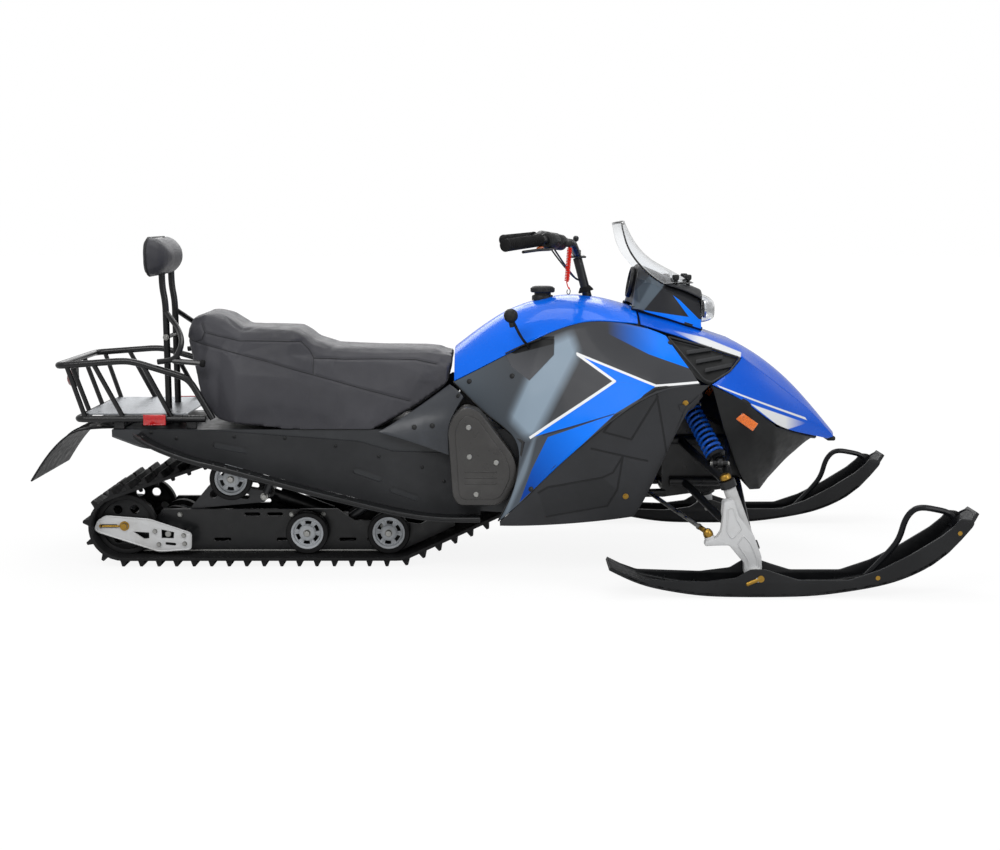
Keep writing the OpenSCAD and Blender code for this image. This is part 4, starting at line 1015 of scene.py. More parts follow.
def road_wheel(x, z, r, y, width=30):
    """A rubber-tyred wheel with a slotted grey hub; y is its middle."""
    half = width / 2
    at = (x, y + half, z)
    tyre = turned([(r * 0.76, 3), (r * 0.8, 1), (r * 0.95, 1.5), (r - 0.6, 5), (r - 0.4, width - 5),
                   (r * 0.95, width - 1.5), (r * 0.8, width - 1), (r * 0.76, width - 3), (r * 0.74, half),
                   (r * 0.76, 3)], at, RIGHT, 48)
    rim = turned([(r * 0.66, 5), (r * 0.75, 3), (r * 0.77, 5), (r * 0.77, width - 5), (r * 0.75, width - 3),
                  (r * 0.66, width - 5), (r * 0.62, half + 4), (r * 0.62, half - 4), (r * 0.66, 5)], at,
                 RIGHT, 48)
    slots = [kidney(x, z, r * 0.4, r * 0.56, a, a + 34) for a in range(8, 360, 60)]
    web = plate(ring(x, z, r * 1.3, 36), y - 3, y + 3, holes=slots, edge=1)
    ribs = [rod((px, y, pz), (qx, y, qz), 9, 0.5, 8) for (px, pz),
            (qx, qz) in zip(arc((x, z), 0.3 * r, -5, 295, 5), arc((x, z), 0.66 * r, -5, 295, 5))]
    boss = turned([(11, 1), (r * 0.26, 1), (r * 0.34, 5), (r * 0.36, width - 5), (r * 0.26, width - 1),
                   (11, width - 1), (11, 1)], at, RIGHT, 32)
    return [(tyre, TYRE_RUBBER), (several([rim, web, boss] + ribs), WHEEL_GREY)]


def axle(x, z, reach, edge=1.5, diameter=19):
    """A cross shaft that reaches as far to either side."""
    return rod((x, -reach, z), (x, reach, z), diameter, edge)


def wheel_axle(x, z):
    """Two road wheels on their shaft, with its end bolts."""
    parts = [(both_sides(bolt((x, -144, z), RIGHT, 16, 8, 24)), STEEL), (axle(x, z, 147), STEEL)]
    for y in (-WHEEL_Y, WHEEL_Y):
        parts += road_wheel(x, z, WHEEL_R, y)
    return parts


def make_skid():
    inner_axle = [(axle(-905, BOGIE_Z, 155), STEEL)] + [
        part for y in (-50, 50) for part in road_wheel(-905, BOGIE_Z, WHEEL_R, y)]
    piece("bogie_wheel_set", wheel_axle(-512, BOGIE_Z) + wheel_axle(-280, BOGIE_Z) + inner_axle, "sled",
          ["bogie_wheels"])
    piece("carrier_wheel_set", wheel_axle(*CARRIER), "sled", ["carrier_wheels"])

    x, z = IDLER
    rear = [(axle(x, z, 168, diameter=19.5), STEEL)]
    for y in (-WHEEL_Y, WHEEL_Y):
        holes = [ring(hx, hz, 26, 16) for hx, hz in arc(IDLER, 48, 0, 300, 5)]
        disc = plate(ring(x, z, 150, 48), y - 4, y + 4, holes=holes, edge=1)
        band = turned([(72, 3), (80, 0.5), (85.4, 2), (85.4, 22), (80, 23.5), (72, 21), (70, 16), (70, 8),
                       (72, 3)], (x, y + 12, z), RIGHT, 60)
        hub = turned([(10.5, 0), (20, 0), (22, 3), (22, 21), (20, 24), (10.5, 24), (10.5, 0)], (x, y + 12, z),
                     RIGHT)
        rear += [(several([disc, hub]), DEEP_PLASTIC), (band, TYRE_RUBBER)]
    piece("idler_wheel_set", rear, "sled", ["rear_idlers"])

    outline = [(-1110, 104), (-1100, 128), (-1078, 142), (-955, 132), (-838, 92), (-840, 46), (-930, 40),
               (-1100, 96)]
    cheek = plate(outline, -162.6, -156.4, holes=[
        ring(x, z, 20.8, 20), slot_hole((-1090, z), (-1050, z), 9), slot_hole((-908, 62), (-886, 60), 8),
        [(-1002, 97), (-957, 94), (-957, 77), (-972, 76)], [(-922, 103), (-886, 95), (-888, 77), (-922, 78)]],
        edge=1, fillet=9)
    rim = tube([(px, -162, pz) for px, pz in outline], 5, bend=9, sides=8, closed=True)
    bolts = [mesh for px, pz in ((-940, 98), (-930, 60), (-859, 86), (-857, 62))
             for mesh in (rod((px, -156, pz), (px, -108, pz), 13), bolt((px, -162.4, pz), RIGHT, 11, 5, 14))]
    axle_nut = bolt((x, -162.4, z), RIGHT, 17, 7, 28)
    adjuster = [rod((-1088, -166, z), (-1040, -166, z), 6, 0.6, 12),
                bolt((-1090, -166, z), (-1, 0, 0), 9, 4, 11)]
    piece("rear_axle_plates", [(pair(cheek, rim), WHITE_ALLOY), (pair(*bolts), STEEL),
                               (pair(axle_nut, *adjuster), GOLD)], "sled", ["rear_plates"])
    shoe = plate([(-990, 27.4), (-985, 32), (-260, 32), (-255, 27.4)], -108.6, -93.4, edge=0.8)
    rail_bolts = [bolt((px, -107, 100 if px > -430 else 135), RIGHT, 11, 5, 15)
                  for px in (-880, -560, -470, -300, -235)]
    piece("rail_fittings", [(pair(shoe, *rail_bolts), STEEL)], "sled")
    arm_bolts = [bolt((px, -92.5, pz), RIGHT, 14, 6, 22) for px, pz in ((-848, 132), (-640, 184))]
    piece("skid_fittings", [(pair(*arm_bolts), STEEL)], "sled")


make_track()
make_skid()

# ---------- tunnel, boards and covers ----------
BOARD = [(-958, 385), (-912, 352), (-806, 312), (-738, 297), (-508, 233), (-237, 165), (-128, 151),
         (-18, 151)]


def make_boards():
    """Each running board: a folded tread plate with a toothed outer lip."""
    outer, inner = -301.6, -209.6
    floor = skin([[(x, inner + 2 - t * 94, z + 4.6) for t in (0, 0.33, 0.67, 1)] for x, z in BOARD], 3.6, UP,
                 level=2)
    lip = skin([[(x, outer + 3, z + h) for h in (0, 6, 13.6)] for x, z in BOARD], 3, RIGHT, level=2)
    bar = tube([(x, outer + 1, z + 12.6) for x, z in BOARD], 4.6, bend=60, sides=8)
    teeth = []
    for a, b in zip(BOARD, BOARD[1:]):
        a, b = Vector(a), Vector(b)
        count = max(1, round((b - a).length / 34))
        tilt = atan2((b - a).y, (b - a).x)
        for k in range(count):
            p = a.lerp(b, (k + 0.5) / count)
            teeth += [turned([(9, 0), (8.4, 1.2), (5, 3.4), (3.6, 3.2), (3.6, 1)], (p.x, y, p.y + 2.4),
                             (-sin(tilt), 0, cos(tilt)), 12) for y in (-285, -262, -239)]
    piece("board_shells", [(pair(floor, lip, bar, *teeth), FRAME_BLACK)], "sled",
          ["running_boards"])


def make_tunnel_fittings():
    pins = [(-930, 388), (-860, 372), (-700, 376), (-560, 372), (-420, 350), (-300, 320), (-180, 290),
            (-120, 250), (-60, 200)]
    rivets = several([turned([(0, 0), (5, 0), (4.6, 1.6), (2.6, 2.8), (0, 3)], (x, -209.6, z), (0, -1, 0), 14)
                      for x, z in pins])
    edge = tube([(-1038, -203, 376), (-960, -203, 346), (-740, -203, 316), (-520, -203, 251)], 5, bend=20,
                sides=8)
    piece("tunnel_fittings", [(both_sides(rivets), DEEP_PLASTIC), (both_sides(edge), TUNNEL_DARK)], "sled")


def make_belt_covers():
    outline = [(-62, 470), (-92, 440), (-106, 405), (-94, 222), (-78, 196), (30, 196), (54, 212), (80, 262),
               (84, 300), (70, 338), (-20, 458)]
    inner = [(-56, 448), (-76, 428), (-86, 400), (-76, 232), (-68, 214), (24, 214), (40, 224), (62, 268),
             (64, 298), (52, 330), (-24, 436)]
    shell = plate(outline, -286, -209.9, edge=6, fillet=14)
    raised = plate(inner, -290, -280, edge=3, fillet=12)
    knobs = several([turned([(0, 0), (7.5, 0), (7.5, 2), (6, 3.4), (0, 3.4)], (x, -289.5, z), (0, -1, 0), 20)
                     for x, z in ((-49, 413), (26, 316), (-29, 228), (-47, 332))])
    ribs = several([block((-60, -291.6, z), (28, -288, z + 5), 1.5, 1) for z in (256, 272, 288)])
    # The covers' grey is a painted reflection on black gloss.
    piece("belt_cover_shells", [(pair(shell, raised, ribs), SHEEN_PAINTED_COVER), (both_sides(knobs), STEEL)], "sled",
          ["belt_covers"])


def make_flap():
    path = [(-1012, 395.3), (-1060, 395.3), (-1125, 392), (-1172, 378), (-1232, 318), (-1280, 242)]
    sheet = skin([[(x, y, z + 4) for y in (-181, -60, 60, 181)] for x, z in path], 4.5, UP, level=3,
                 sharp_rows=(5,))
    ribs = several([tube([(x, y, z + 4.6) for x, z in path[2:5]] + [(-1270, y, 262)], 4, bend=30, sides=8)
                    for y in (-120, -60, 0, 60, 120)])
    studs = several([turned([(0, 0), (8, 0), (7, 3), (4, 4), (0, 4)], (-1086, y, 398), UP, 16)
                     for y in (-150, -75, 75, 150)])
    piece("flap_sheet", [(sheet, FLAP_RUBBER), (ribs, FLAP_RUBBER), (studs, STEEL)], "sled",
          ["snow_flap"])


make_boards()
make_tunnel_fittings()
make_belt_covers()
make_flap()

# ---------- rack and backrest frame ----------
RAIL_Z, RACK_Y = 424, 198


def make_rack():
    hoop = [(-1187, 0, 572), (-1187, -RACK_Y, 572), (-1000, -RACK_Y, 586), (-966, -RACK_Y, 581),
            (-836, -RACK_Y, 541), (-816, -RACK_Y, 524), (-760, -RACK_Y, RAIL_Z)]
    bars = [tube([(a[0], y, a[1]), (b[0], y, b[1])], 14, bend=0) for y, a, b in (
        (-RACK_Y, (-1160, 574), (-1112, RAIL_Z)), (-RACK_Y, (-1086, 579), (-1006, RAIL_Z)),
        (-RACK_Y, (-950, 576), (-872, RAIL_Z)), (-70, (-1187, 572), (-1136, RAIL_Z)))]
    lug = plate([(-1191, 500), (-1191, 570), (-1187, 570), (-1187, 500)], -14, 14, edge=0.6)
    piece("rack_hoop", [(pair(tube(hoop, 18.6, bend=26, sides=20), *bars), RACK_BLACK), (lug, RACK_BLACK)],
          "sled", ["rear_rack"])
    rail = tube([(-1136, 0, RAIL_Z), (-1136, -RACK_Y, RAIL_Z), (-780, -RACK_Y, RAIL_Z)], 19, bend=22,
                sides=20)
    feet = [mesh for x in (-1020, -820) for mesh in (block((x - 14, -199, 395.4), (x + 14, -187, 418)),
                                                      bolt((x, -193, 419), UP, 10, 3, 12))]
    piece("rack_floor_rails", [(pair(rail, *feet), RACK_BLACK)], "sled", ["rack_base"])


def make_backrest_frame():
    post = [(-912, -60, 396), (-912, -60, 736), (-920, -60, 784), (-920, -60, 835)]
    brace = [(-912, -60, 712), (-866, -115, 668), (-846, -165, 642), (-845, -190, 618), (-862, -198, 588),
             (-908, -198, 583)]
    grip = tube([(-866, -198, 586), (-778, -198, 578)], 15, bend=0)
    foot = turned([(9.6, 0), (17, 0), (17, 5), (15, 8), (9.6, 8)], (-912, -60, 395.5), UP, 28)
    piece("backrest_tubes",
          [(pair(tube(post, 19, bend=30, sides=20), tube(brace, 15.6, bend=24, sides=16), grip, foot),
            RACK_BLACK), (rod((-912, -58, 640), (-912, 58, 640), 12), RACK_BLACK),
           (both_sides(rod((-790, -198, 579), (-777.5, -198, 578), 21, 2)), GRIP_RUBBER),
           (both_sides(bolt((-912, -69, 640), (0, -1, 0), 12, 5, 18)), STEEL)], "sled",
          ["backrest_frame"])


def make_tail():
    lamp = turned([(0, 0), (23, 0), (24.6, 2), (24.6, 8), (20, 15), (11, 19.5), (0, 21)], (-1196, 0, 516),
                  (-1, 0, 0), 40)
    bezel = turned([(20, 0), (24.9, 0), (24.9, 6), (23, 8), (20, 6)], (-1190, 0, 516), (-1, 0, 0), 40)
    piece("tail_lamp_lens", [(lamp, DARK_LENS), (bezel, DEEP_PLASTIC)], "sled", ["tail_light"])


def make_reflectors():
    """Red ones on the rack's sides and orange ones on the nose."""
    red = block((-950, -213.3, 408), (-888, -207.9, 438), 1.6)
    bezel = tube([(-948, -212.6, 410), (-890, -212.6, 410), (-890, -212.6, 436), (-948, -212.6, 436)], 2,
                 bend=3, sides=8, closed=True)
    orange = block((-29.5, -5.5, -12.5), (29.5, 5.5, 12.5), 1.6)
    orange.transform(Matrix.Translation(spot(706, -288, 430)) @ Matrix.Rotation(radians(35), 4, "Y") @
                     Matrix.Rotation(radians(-14), 4, "Z"))
    piece("side_reflectors", [(pair(red, bezel), RED_LENS), (both_sides(orange), ORANGE_LENS)], "sled",
          ["reflectors"])


make_rack()
make_backrest_frame()
make_tail()
make_reflectors()

# ---------- soft pieces: seat and backrest pad ----------
def loft(rings, caps=(True, True)):
    """A closed form bridged through rings of points in millimetres."""
    bm = bmesh.new()
    loops = []
    for ring_points in rings:
        verts = [bm.verts.new(spot(*p)) for p in ring_points]
        loops.append([bm.edges.new(pair) for pair in zip(verts, verts[1:] + verts[:1])])
    for a, b in zip(loops, loops[1:]):
        bmesh.ops.bridge_loops(bm, edges=a + b)
    for wanted, loop in zip(caps, (loops[0], loops[-1])):
        if wanted:
            bmesh.ops.contextual_create(bm, geom=loop)
    bmesh.ops.recalc_face_normals(bm, faces=bm.faces)
    return mesh_of(bm)


def inflate(mesh, voxel, pressure, cap, soften=0.5):
    """Foam pressing out inside its sewn cover: a cloth run whose points move cap millimetres at most."""
    mesh = wear_modifiers(mesh, ("REMESH", {"mode": "VOXEL", "voxel_size": voxel * MM}),
                          ("SMOOTH", {"factor": soften, "iterations": 3}))
    scene = bpy.context.scene
    obj = bpy.data.objects.new("foam", mesh.copy())
    bpy.context.collection.objects.link(obj)
    cloth = obj.modifiers.new("fill", "CLOTH")
    for key, value in (("quality", 4), ("mass", 0.3), ("tension_stiffness", 30),
                       ("compression_stiffness", 30), ("bending_stiffness", 2), ("use_pressure", True),
                       ("uniform_pressure_force", pressure)):
        setattr(cloth.settings, key, value)
    cloth.settings.effector_weights.gravity = 0
    cloth.point_cache.frame_start, cloth.point_cache.frame_end = 1, 20
    for frame_number in range(1, 21):
        scene.frame_set(frame_number)
    swollen = settle(obj)
    scene.frame_set(1)
    for vert, full in zip(mesh.vertices, swollen.vertices):
        shift = full.co - vert.co
        if shift.length > cap * MM:
            shift *= cap * MM / shift.length
        vert.co += shift
    bpy.data.meshes.remove(swollen)
    return wear_modifiers(mesh, ("SUBSURF", {"levels": 1, "render_levels": 1}))


def seam_groove(mesh, lines, reach=7, deep=2.2, inner=60):
    """Draws the cover in along seams given in the side view."""
    mesh.update()
    normals = [v.normal.copy() for v in mesh.vertices]
    segments = [(Vector(a) * MM, Vector(b) * MM) for line in lines for a, b in zip(line, line[1:])]
    for vert, normal in zip(mesh.vertices, normals):
        if abs(vert.co.y) < inner * MM:
            continue
        p = Vector((vert.co.x, vert.co.z))
        near = 1.0
        for a, b in segments:
            run = b - a
            t = min(1, max(0, (p - a).dot(run) / run.length_squared))
            near = min(near, (p - a - run * t).length)
        if near < reach * MM:
            vert.co -= normal * deep * MM * (1 - (near / (reach * MM)) ** 2) ** 2


def thread(mesh, line, wire=2.0, step=8):
    """A seam cord laid on both sides of a cushion along a line in the side view."""
    tree = BVHTree.FromPolygons([v.co for v in mesh.vertices], [p.vertices for p in mesh.polygons])
    points = []
    for a, b in zip(line, line[1:]):
        a, b = Vector(a), Vector(b)
        count = max(1, int((b - a).length / step))
        for k in range(count + (b == Vector(line[-1]))):
            p = a.lerp(b, k / count)
            hit = tree.ray_cast(Vector((p.x * MM, -0.5, p.y * MM)), Vector((0, 1, 0)))
            if hit[0]:
                points.append(hit[0] / MM)
    return both_sides(tube(points, wire, bend=0, sides=8))


# Cross-sections of the seat: x of the top and of the base, their heights, and their half widths.
SEAT_STATIONS = [
    (-843, -803, 672, 476, 104, 164), (-826, -792, 706, 458, 111, 169), (-790, -772, 714, 437, 115, 174),
    (-740, -752, 699, 416, 119, 178), (-690, -700, 667, 410, 125, 214), (-600, -620, 665, 402, 127, 217),
    (-540, -560, 663, 394, 127, 217), (-515, -530, 650, 391, 126, 217), (-488, -500, 630, 388, 123, 217),
    (-430, -400, 612, 377, 117, 217), (-300, -330, 607, 383, 113, 215), (-170, -190, 606, 461, 107, 190),
    (-96, -108, 600, 520, 98, 156)]
# Sewn lines in the side view.
SEAT_SEAMS = [
    [(-841, 641), (-800, 630), (-716, 608), (-600, 578), (-483, 544), (-350, 507), (-214, 472)],
    [(-520, 634), (-497, 611), (-484, 590), (-483, 544)],
    [(-797, 684), (-787, 660), (-795, 640), (-812, 634)],
    [(-787, 660), (-740, 648), (-690, 636), (-600, 636), (-520, 634)],
    [(-484, 588), (-400, 584), (-300, 584), (-200, 582), (-140, 570)]]


def make_seat():
    """The cushion: blown up, drawn in along its seams, and clamped between the side covers at its foot."""
    rings = []
    for top_x, base_x, top, base, top_half, base_half in SEAT_STATIONS:
        middle = (top + base) / 2
        half = [(base_x, base_half, base), ((top_x + base_x) / 2, (top_half + base_half) / 2 + 14, middle +
                                            6), (top_x, top_half + 19, top - 25),
                (top_x, top_half - 2, top - 5), (top_x, top_half * 0.6, top)]
        rings.append([(x, -y, z) for x, y, z in half] + half[::-1])
    body = inflate(loft(rings), 6, 4, 5, soften=0.35)
    seam_groove(body, SEAT_SEAMS)
    for vert in body.vertices:
        if vert.co.z < 0.406:
            vert.co.y = max(-0.2115, min(0.2115, vert.co.y))
            vert.co.z = max(0.3975, vert.co.z)
    threads = several([thread(body, line) for line in SEAT_SEAMS])
    seat = piece("seat_cushion", [(body, VINYL), (threads, PIPING)], "sled", ["seat"],
                 smooth=60)


def soft_rectangle(x, centre_z, half, tall, corner):
    """A cross-section with round corners, facing forward."""
    return [(x, y, z) for cy, cz, start in ((1, 1, 0), (-1, 1, 90), (-1, -1, 180), (1, -1, 270)) for y,
            z in arc((cy * (half - corner), centre_z + cz * (tall - corner)), corner, start, start + 90, 3)]


def make_pad():
    rings = [soft_rectangle(x, 868, *sizes) for x, *sizes in ((-955, 134, 48, 36), (-950, 139, 53, 41),
                                                              (-942, 141, 55, 43), (-928, 138, 52, 44),
                                                              (-914, 130, 43, 38), (-902, 116, 31, 28),
                                                              (-893, 94, 17, 15), (-888, 66, 7, 6))]
    body = inflate(loft(rings), 5, 4, 5)
    piping = tube(soft_rectangle(-946, 868, 140, 53.5, 43), 5, bend=0, sides=8, closed=True)
    pad = piece("backrest_cushion", [(body, VINYL), (piping, PIPING)], "sled", ["backrest_pad"],
                smooth=60)
    board = block((-957.6, -112, 836), (-952, 112, 900), 2.5)
    piece("backrest_board", [(board, DEEP_PLASTIC)], "sled")


make_seat()
make_pad()

# ---------- cockpit ----------
def make_shield_fittings():
    knobs = [turned([(0, -14), (5.5, -14), (5.5, 4), (9, 6), (10, 9), (10, 17), (8.4, 20), (0, 20.6)], place,
                    UP, 24) for place in ((572, -46, 796), (530, -100, 798))]
    piece("shield_knobs", [(pair(*knobs), DEEP_PLASTIC)], "sled")
    rim = tube([(391, 0, 967), (386, -80, 966.6), (373, -150, 961)], 2.4, bend=30, sides=8)
    piece("shield_edge", [(both_sides(rim), LAMP_CLEAR)], "sled")


def make_gauge():
    """Speedometer with plain marks and a hand, facing the rider."""
    at, face = (421, 0, 792), (-0.982, 0, 0.191)
    place = aimed(at, face)
    bezel = turned([(36, 2), (44, 2), (46, 8), (43, 15), (37, 15.5), (36, 11), (36, 2)], at, face, 48)
    dial = turned([(0, 4), (36, 4), (36, 6), (0, 6)], at, face, 48)
    glass = turned([(0, 12), (34, 11), (36.5, 9), (36.5, 8), (0, 10)], at, face, 48)
    hub = turned([(0, 6), (5, 6), (4.4, 9), (0, 9.4)], at, face, 20)

    def line(a, b, wire):
        return tube([place @ spot(*p) / MM for p in (a, b)], wire, bend=0, sides=8)

    marks = []
    for k in range(21):
        a = radians(-30 + 12 * k)
        inner, wire = (24, 1.6) if k % 5 == 0 else (28, 0.9)
        marks.append(line((inner * cos(a), inner * sin(a), 6.2), (33 * cos(a), 33 * sin(a), 6.2), wire))
    piece("speed_dial", [(several([bezel, hub]), DEEP_PLASTIC), (dial, DIAL), (glass, LAMP_CLEAR),
                         (several(marks), WHITE_ALLOY), (line((2, 0, 7.4), (-22, 14, 7.4), 1.8),
                                                         ORANGE_LENS)], "sled", ["gauge"])


def make_headlamp():
    """Twin reflectors and bulbs behind a bulged clear cover."""
    rings = [soft_rectangle(x, z, *sizes) for x, z, *sizes in (
        (603, 722, 104, 42, 30), (616, 721.5, 99, 39.5, 29), (628, 720, 91, 36, 28), (640, 718, 77, 30, 24),
        (647, 716, 60, 23, 18), (651, 714, 38, 13, 10))]
    cover = wear_modifiers(loft(rings, caps=(False, True)), ("SUBSURF", {"levels": 1, "render_levels": 1}),
                           ("SOLIDIFY", {"thickness": 2.2 * MM, "offset": -1}))
    dish = [(27, 16), (25, 12), (17, 4), (6, 0.6), (0, 0), (0, -1), (7, -0.6), (18, 2.6), (26.4, 11),
            (27, 16)]
    dishes = [turned(dish, (606, y, 719), (1, 0, 0.03), 40) for y in (-46, 46)]
    bulbs = [turned([(0, 0), (5, 0), (5, 9), (3.4, 14), (0, 16)], (607, y, 719), FORWARD, 20)
             for y in (-46, 46)]
    backing = plate([(y, z) for _, y, z in soft_rectangle(0, 722, 98, 37, 27)], -2, 2, edge=0.8)
    backing.transform(Matrix.Translation(spot(604.5, 0, 0)) @ Matrix.Rotation(pi / 2, 4, "Z"))
    marker = block((612, -9, 706), (622, 9, 732), 3)
    piece("headlamp_unit", [(several([cover] + bulbs), LAMP_CLEAR), (several([marker] + dishes), CHROME),
                            (backing, DEEP_PLASTIC)], "sled", ["headlight"])
    brow = skin([[(501, 0, 815), (501, 70, 810), (502, 122, 794)], [(556, 0, 799), (557, 66, 792),
                                                                    (558, 112, 778)],
                 [(612, 0, 776), (611, 58, 768), (606, 96, 752)]], 4, UP, whole=True)
    piece("lamp_brow", [(brow, BLACK_PLASTIC)], "sled")


def make_filler_cap():
    x = 160
    cap = turned([(0, 782), (24, 782), (30, 780), (33.5, 776), (34.6, 770), (34.6, 766), (33, 764),
                  (24, 763.6), (24, 716), (0, 716)], (x, 0, 0), UP, 48)
    collar = turned([(25.2, 742), (31, 742), (31, 752), (29, 756), (25.2, 756), (25.2, 742)], (x, 0, 0), UP,
                    40)
    knurls = [rod((px, py, 765.5), (px, py, 777), 3, 1, 8) for px, py in ring(x, 0, 67.2)]
    piece("filler_cap", [(several([cap, collar] + knurls), DEEP_PLASTIC)], "sled",
          ["fuel_cap"])


def make_gear_lever():
    at = (66, -227, 712)
    stick = tube([(124, -188, 612), (92, -222, 656), (69, -226, 704)], 8, bend=20, sides=16)
    ball = turned([(0, -19.8), (8, -18.4), (14, -14), (18.4, -7.6), (19.8, 0), (18.4, 7.6), (14, 14),
                   (8, 18.2), (0, 19.6)], at, (-0.1, -0.02, 0.98), 40)
    sleeve = turned([(4, -32), (6.4, -30), (7.6, -18), (8.6, -14)], at, (-0.1, 0.02, 0.98), 24)
    piece("gear_knob", [(stick, SHINY_BLACK), (several([ball, sleeve]), DEEP_PLASTIC)], "sled",
          ["gear_lever"])


make_shield_fittings()
make_gauge()
make_headlamp()
make_filler_cap()
make_gear_lever()


# ---------- cowl fittings ----------
def make_vents():
    """Sunk louvres behind a frame on each side of the hood."""
    back = skin(right([[(488, 233, 650), (489, 234, 646), (490, 234, 640)],
                       [(588, 243, 628), (568, 279, 595), (557, 297, 548)],
                       [(683, 252, 597), (652, 289, 565), (602, 307, 530)]]), 3, RIGHT)
    rim = tube([(493, -239, 656), (584, -316, 546), (604, -317, 539), (656, -293, 566), (690, -254, 599),
                (588, -247, 632)], 6, bend=8, sides=8, closed=True)
    slats = []
    drop = Vector((2, 7, 9))
    for a, b in (((541, -272, 612), (612, -253, 620)), ((565, -286, 588), (640, -267, 599)),
                 ((588, -302, 566), (664, -280, 579))):
        edge = [Vector(a), (Vector(a) + Vector(b)) / 2, Vector(b)]
        slats += [skin([edge, [p + drop for p in edge]], 3, RIGHT, level=1),
                  tube([a, b], 4.5, bend=0, sides=8)]
    piece("vent_louvres", [(both_sides(back), DEEP_PLASTIC), (pair(rim, *slats), BLACK_PLASTIC)], "sled",
          ["side_vents"])


def make_cowl_fittings():
    """Screws seated on the panels, the rim of the shift gate and the bumper on the nose."""
    cowl = ("tank_shell", "side_panel_shells", "belly_shells", "trim_shells", "nose_shell", "hood_shell")
    shells = [bpy.data.objects[name].data for name in cowl]
    trees = [BVHTree.FromPolygons([v.co for v in m.vertices], [p.vertices for p in m.polygons])
             for m in shells]

    def on_cowl(x, z):
        """The outermost point of the right side at a place in the side view, and its normal."""
        hits = [t.ray_cast(Vector((x * MM, -0.6, z * MM)), Vector((0, 1, 0))) for t in trees]
        point, normal, _, _ = min((h for h in hits if h[0]), key=lambda h: h[3])
        return point / MM, normal

    screws = [turned([(0, 0), (7.5, 0), (7, 1.4), (4, 2.8), (0, 3)], *on_cowl(x, z), 20) for x, z in (
        (-49, 525), (-78, 492), (-200, 405), (-150, 410), (120, 250), (500, 640), (70, 545))]
    brass = [turned([(0, 0), (8, 0), (8, 1.6), (5.2, 1.8), (5.2, 4.6), (3, 5), (0, 4)], *on_cowl(x, z), 24)
             for x, z in ((376, 231), (533, 485))]
    piece("cowl_screws", [(pair(*screws), DEEP_PLASTIC), (pair(*brass), GOLD)], "sled")
    piece("nose_tip_bumper", [(block((982, -50, 338), (1007, 50, 351), 5, 3), DEEP_PLASTIC)], "sled")
    rim = [on_cowl(x, z)[0] - Vector((0, 1, 0)) for x, z in ((52, 604), (100, 628), (150, 647))]
    piece("shift_gate_rim", [(tube(rim, 5, bend=10, sides=8), DEEP_PLASTIC)], "sled")


def make_cowl_seams():
    """Dark strips that back the joints between the cowl panels."""
    joint = skin([[(406, 0, 719), (406, 95, 718), (404, 160, 711), (402, 214, 690)],
                  [(434, 0, 710), (434, 95, 711), (434, 160, 702), (432, 216, 682)]], 2, UP, whole=True)
    hems = [tube([(x, -y + 8, z) for x, y, z in edge], 12, bend=0, sides=8)
            for edge in ([row[-1] for row in PANEL_ROWS], PANEL_ROWS[0], [row[-1] for row in POD_ROWS],
                         [row[-1] for row in NOSE_ROWS])]
    piece("cowl_seam_strip", [(joint, DEEP_PLASTIC), (pair(*hems), DEEP_PLASTIC)], "sled")


make_vents()
make_cowl_fittings()
make_cowl_seams()

# ---------- front suspension, skis and steering ----------
# The kingpin's lean, its lower and upper ends, and the ends of the tie rod on the right.
KP = Vector((-sin(radians(21)), 0, cos(radians(21))))
PIN_LOW = Vector((704, -400, 112))
PIN_TOP = PIN_LOW + 168 * KP
TIE_OUT = Vector((588, -436, 144))
TIE_IN = Vector((343.43, -14, 254.29))
COLUMN = Vector((-sin(radians(15)), 0, cos(radians(15))))
COLUMN_FOOT = Vector((285, 0, 766))


def make_springs():
    top, low = Vector((562, -182, 462)), Vector((631.5, -312, 318))
    u = (low - top).normalized()
    coil = helix(top + 22 * u, low - 24 * u, 23.4, 8.4, 10, 18)
    body = turned([(0, 8), (11.4, 8), (11.4, 120), (12, 122), (12, 190), (0, 190)], top, u, 28)
    seats = [turned([(11, 20), (27, 20), (27.6, 22), (27.6, 25), (20, 27), (11, 27)], top, u, 40),
             turned([(11, 178), (20, 178), (27.6, 179), (27.6, 182), (24, 186), (11, 188)], top, u, 40)]
    eyes = [turned([(8.4, -h), (14, -h), (15, 2 - h), (15, h - 2), (14, h), (8.4, h), (8.4, -h)], place,
                   FORWARD, 28) for place, h in ((top, 9), (low, 7))]
    piece("front_spring_units", [(both_sides(coil), SPRING_BLUE), (pair(body, *seats), SHINY_BLACK),
                                 (pair(*eyes), FRAME_BLACK)], "sled", ["front_shocks"])
    studs = [bolt((652, low.y, low.z), FORWARD, 12, 4), bolt((611, low.y, low.z), (-1, 0, 0), 12, 4),
             bolt((590, top.y, top.z), FORWARD, 12, 5)]
    piece("arm_bolts", [(pair(*studs), STEEL)], "sled")


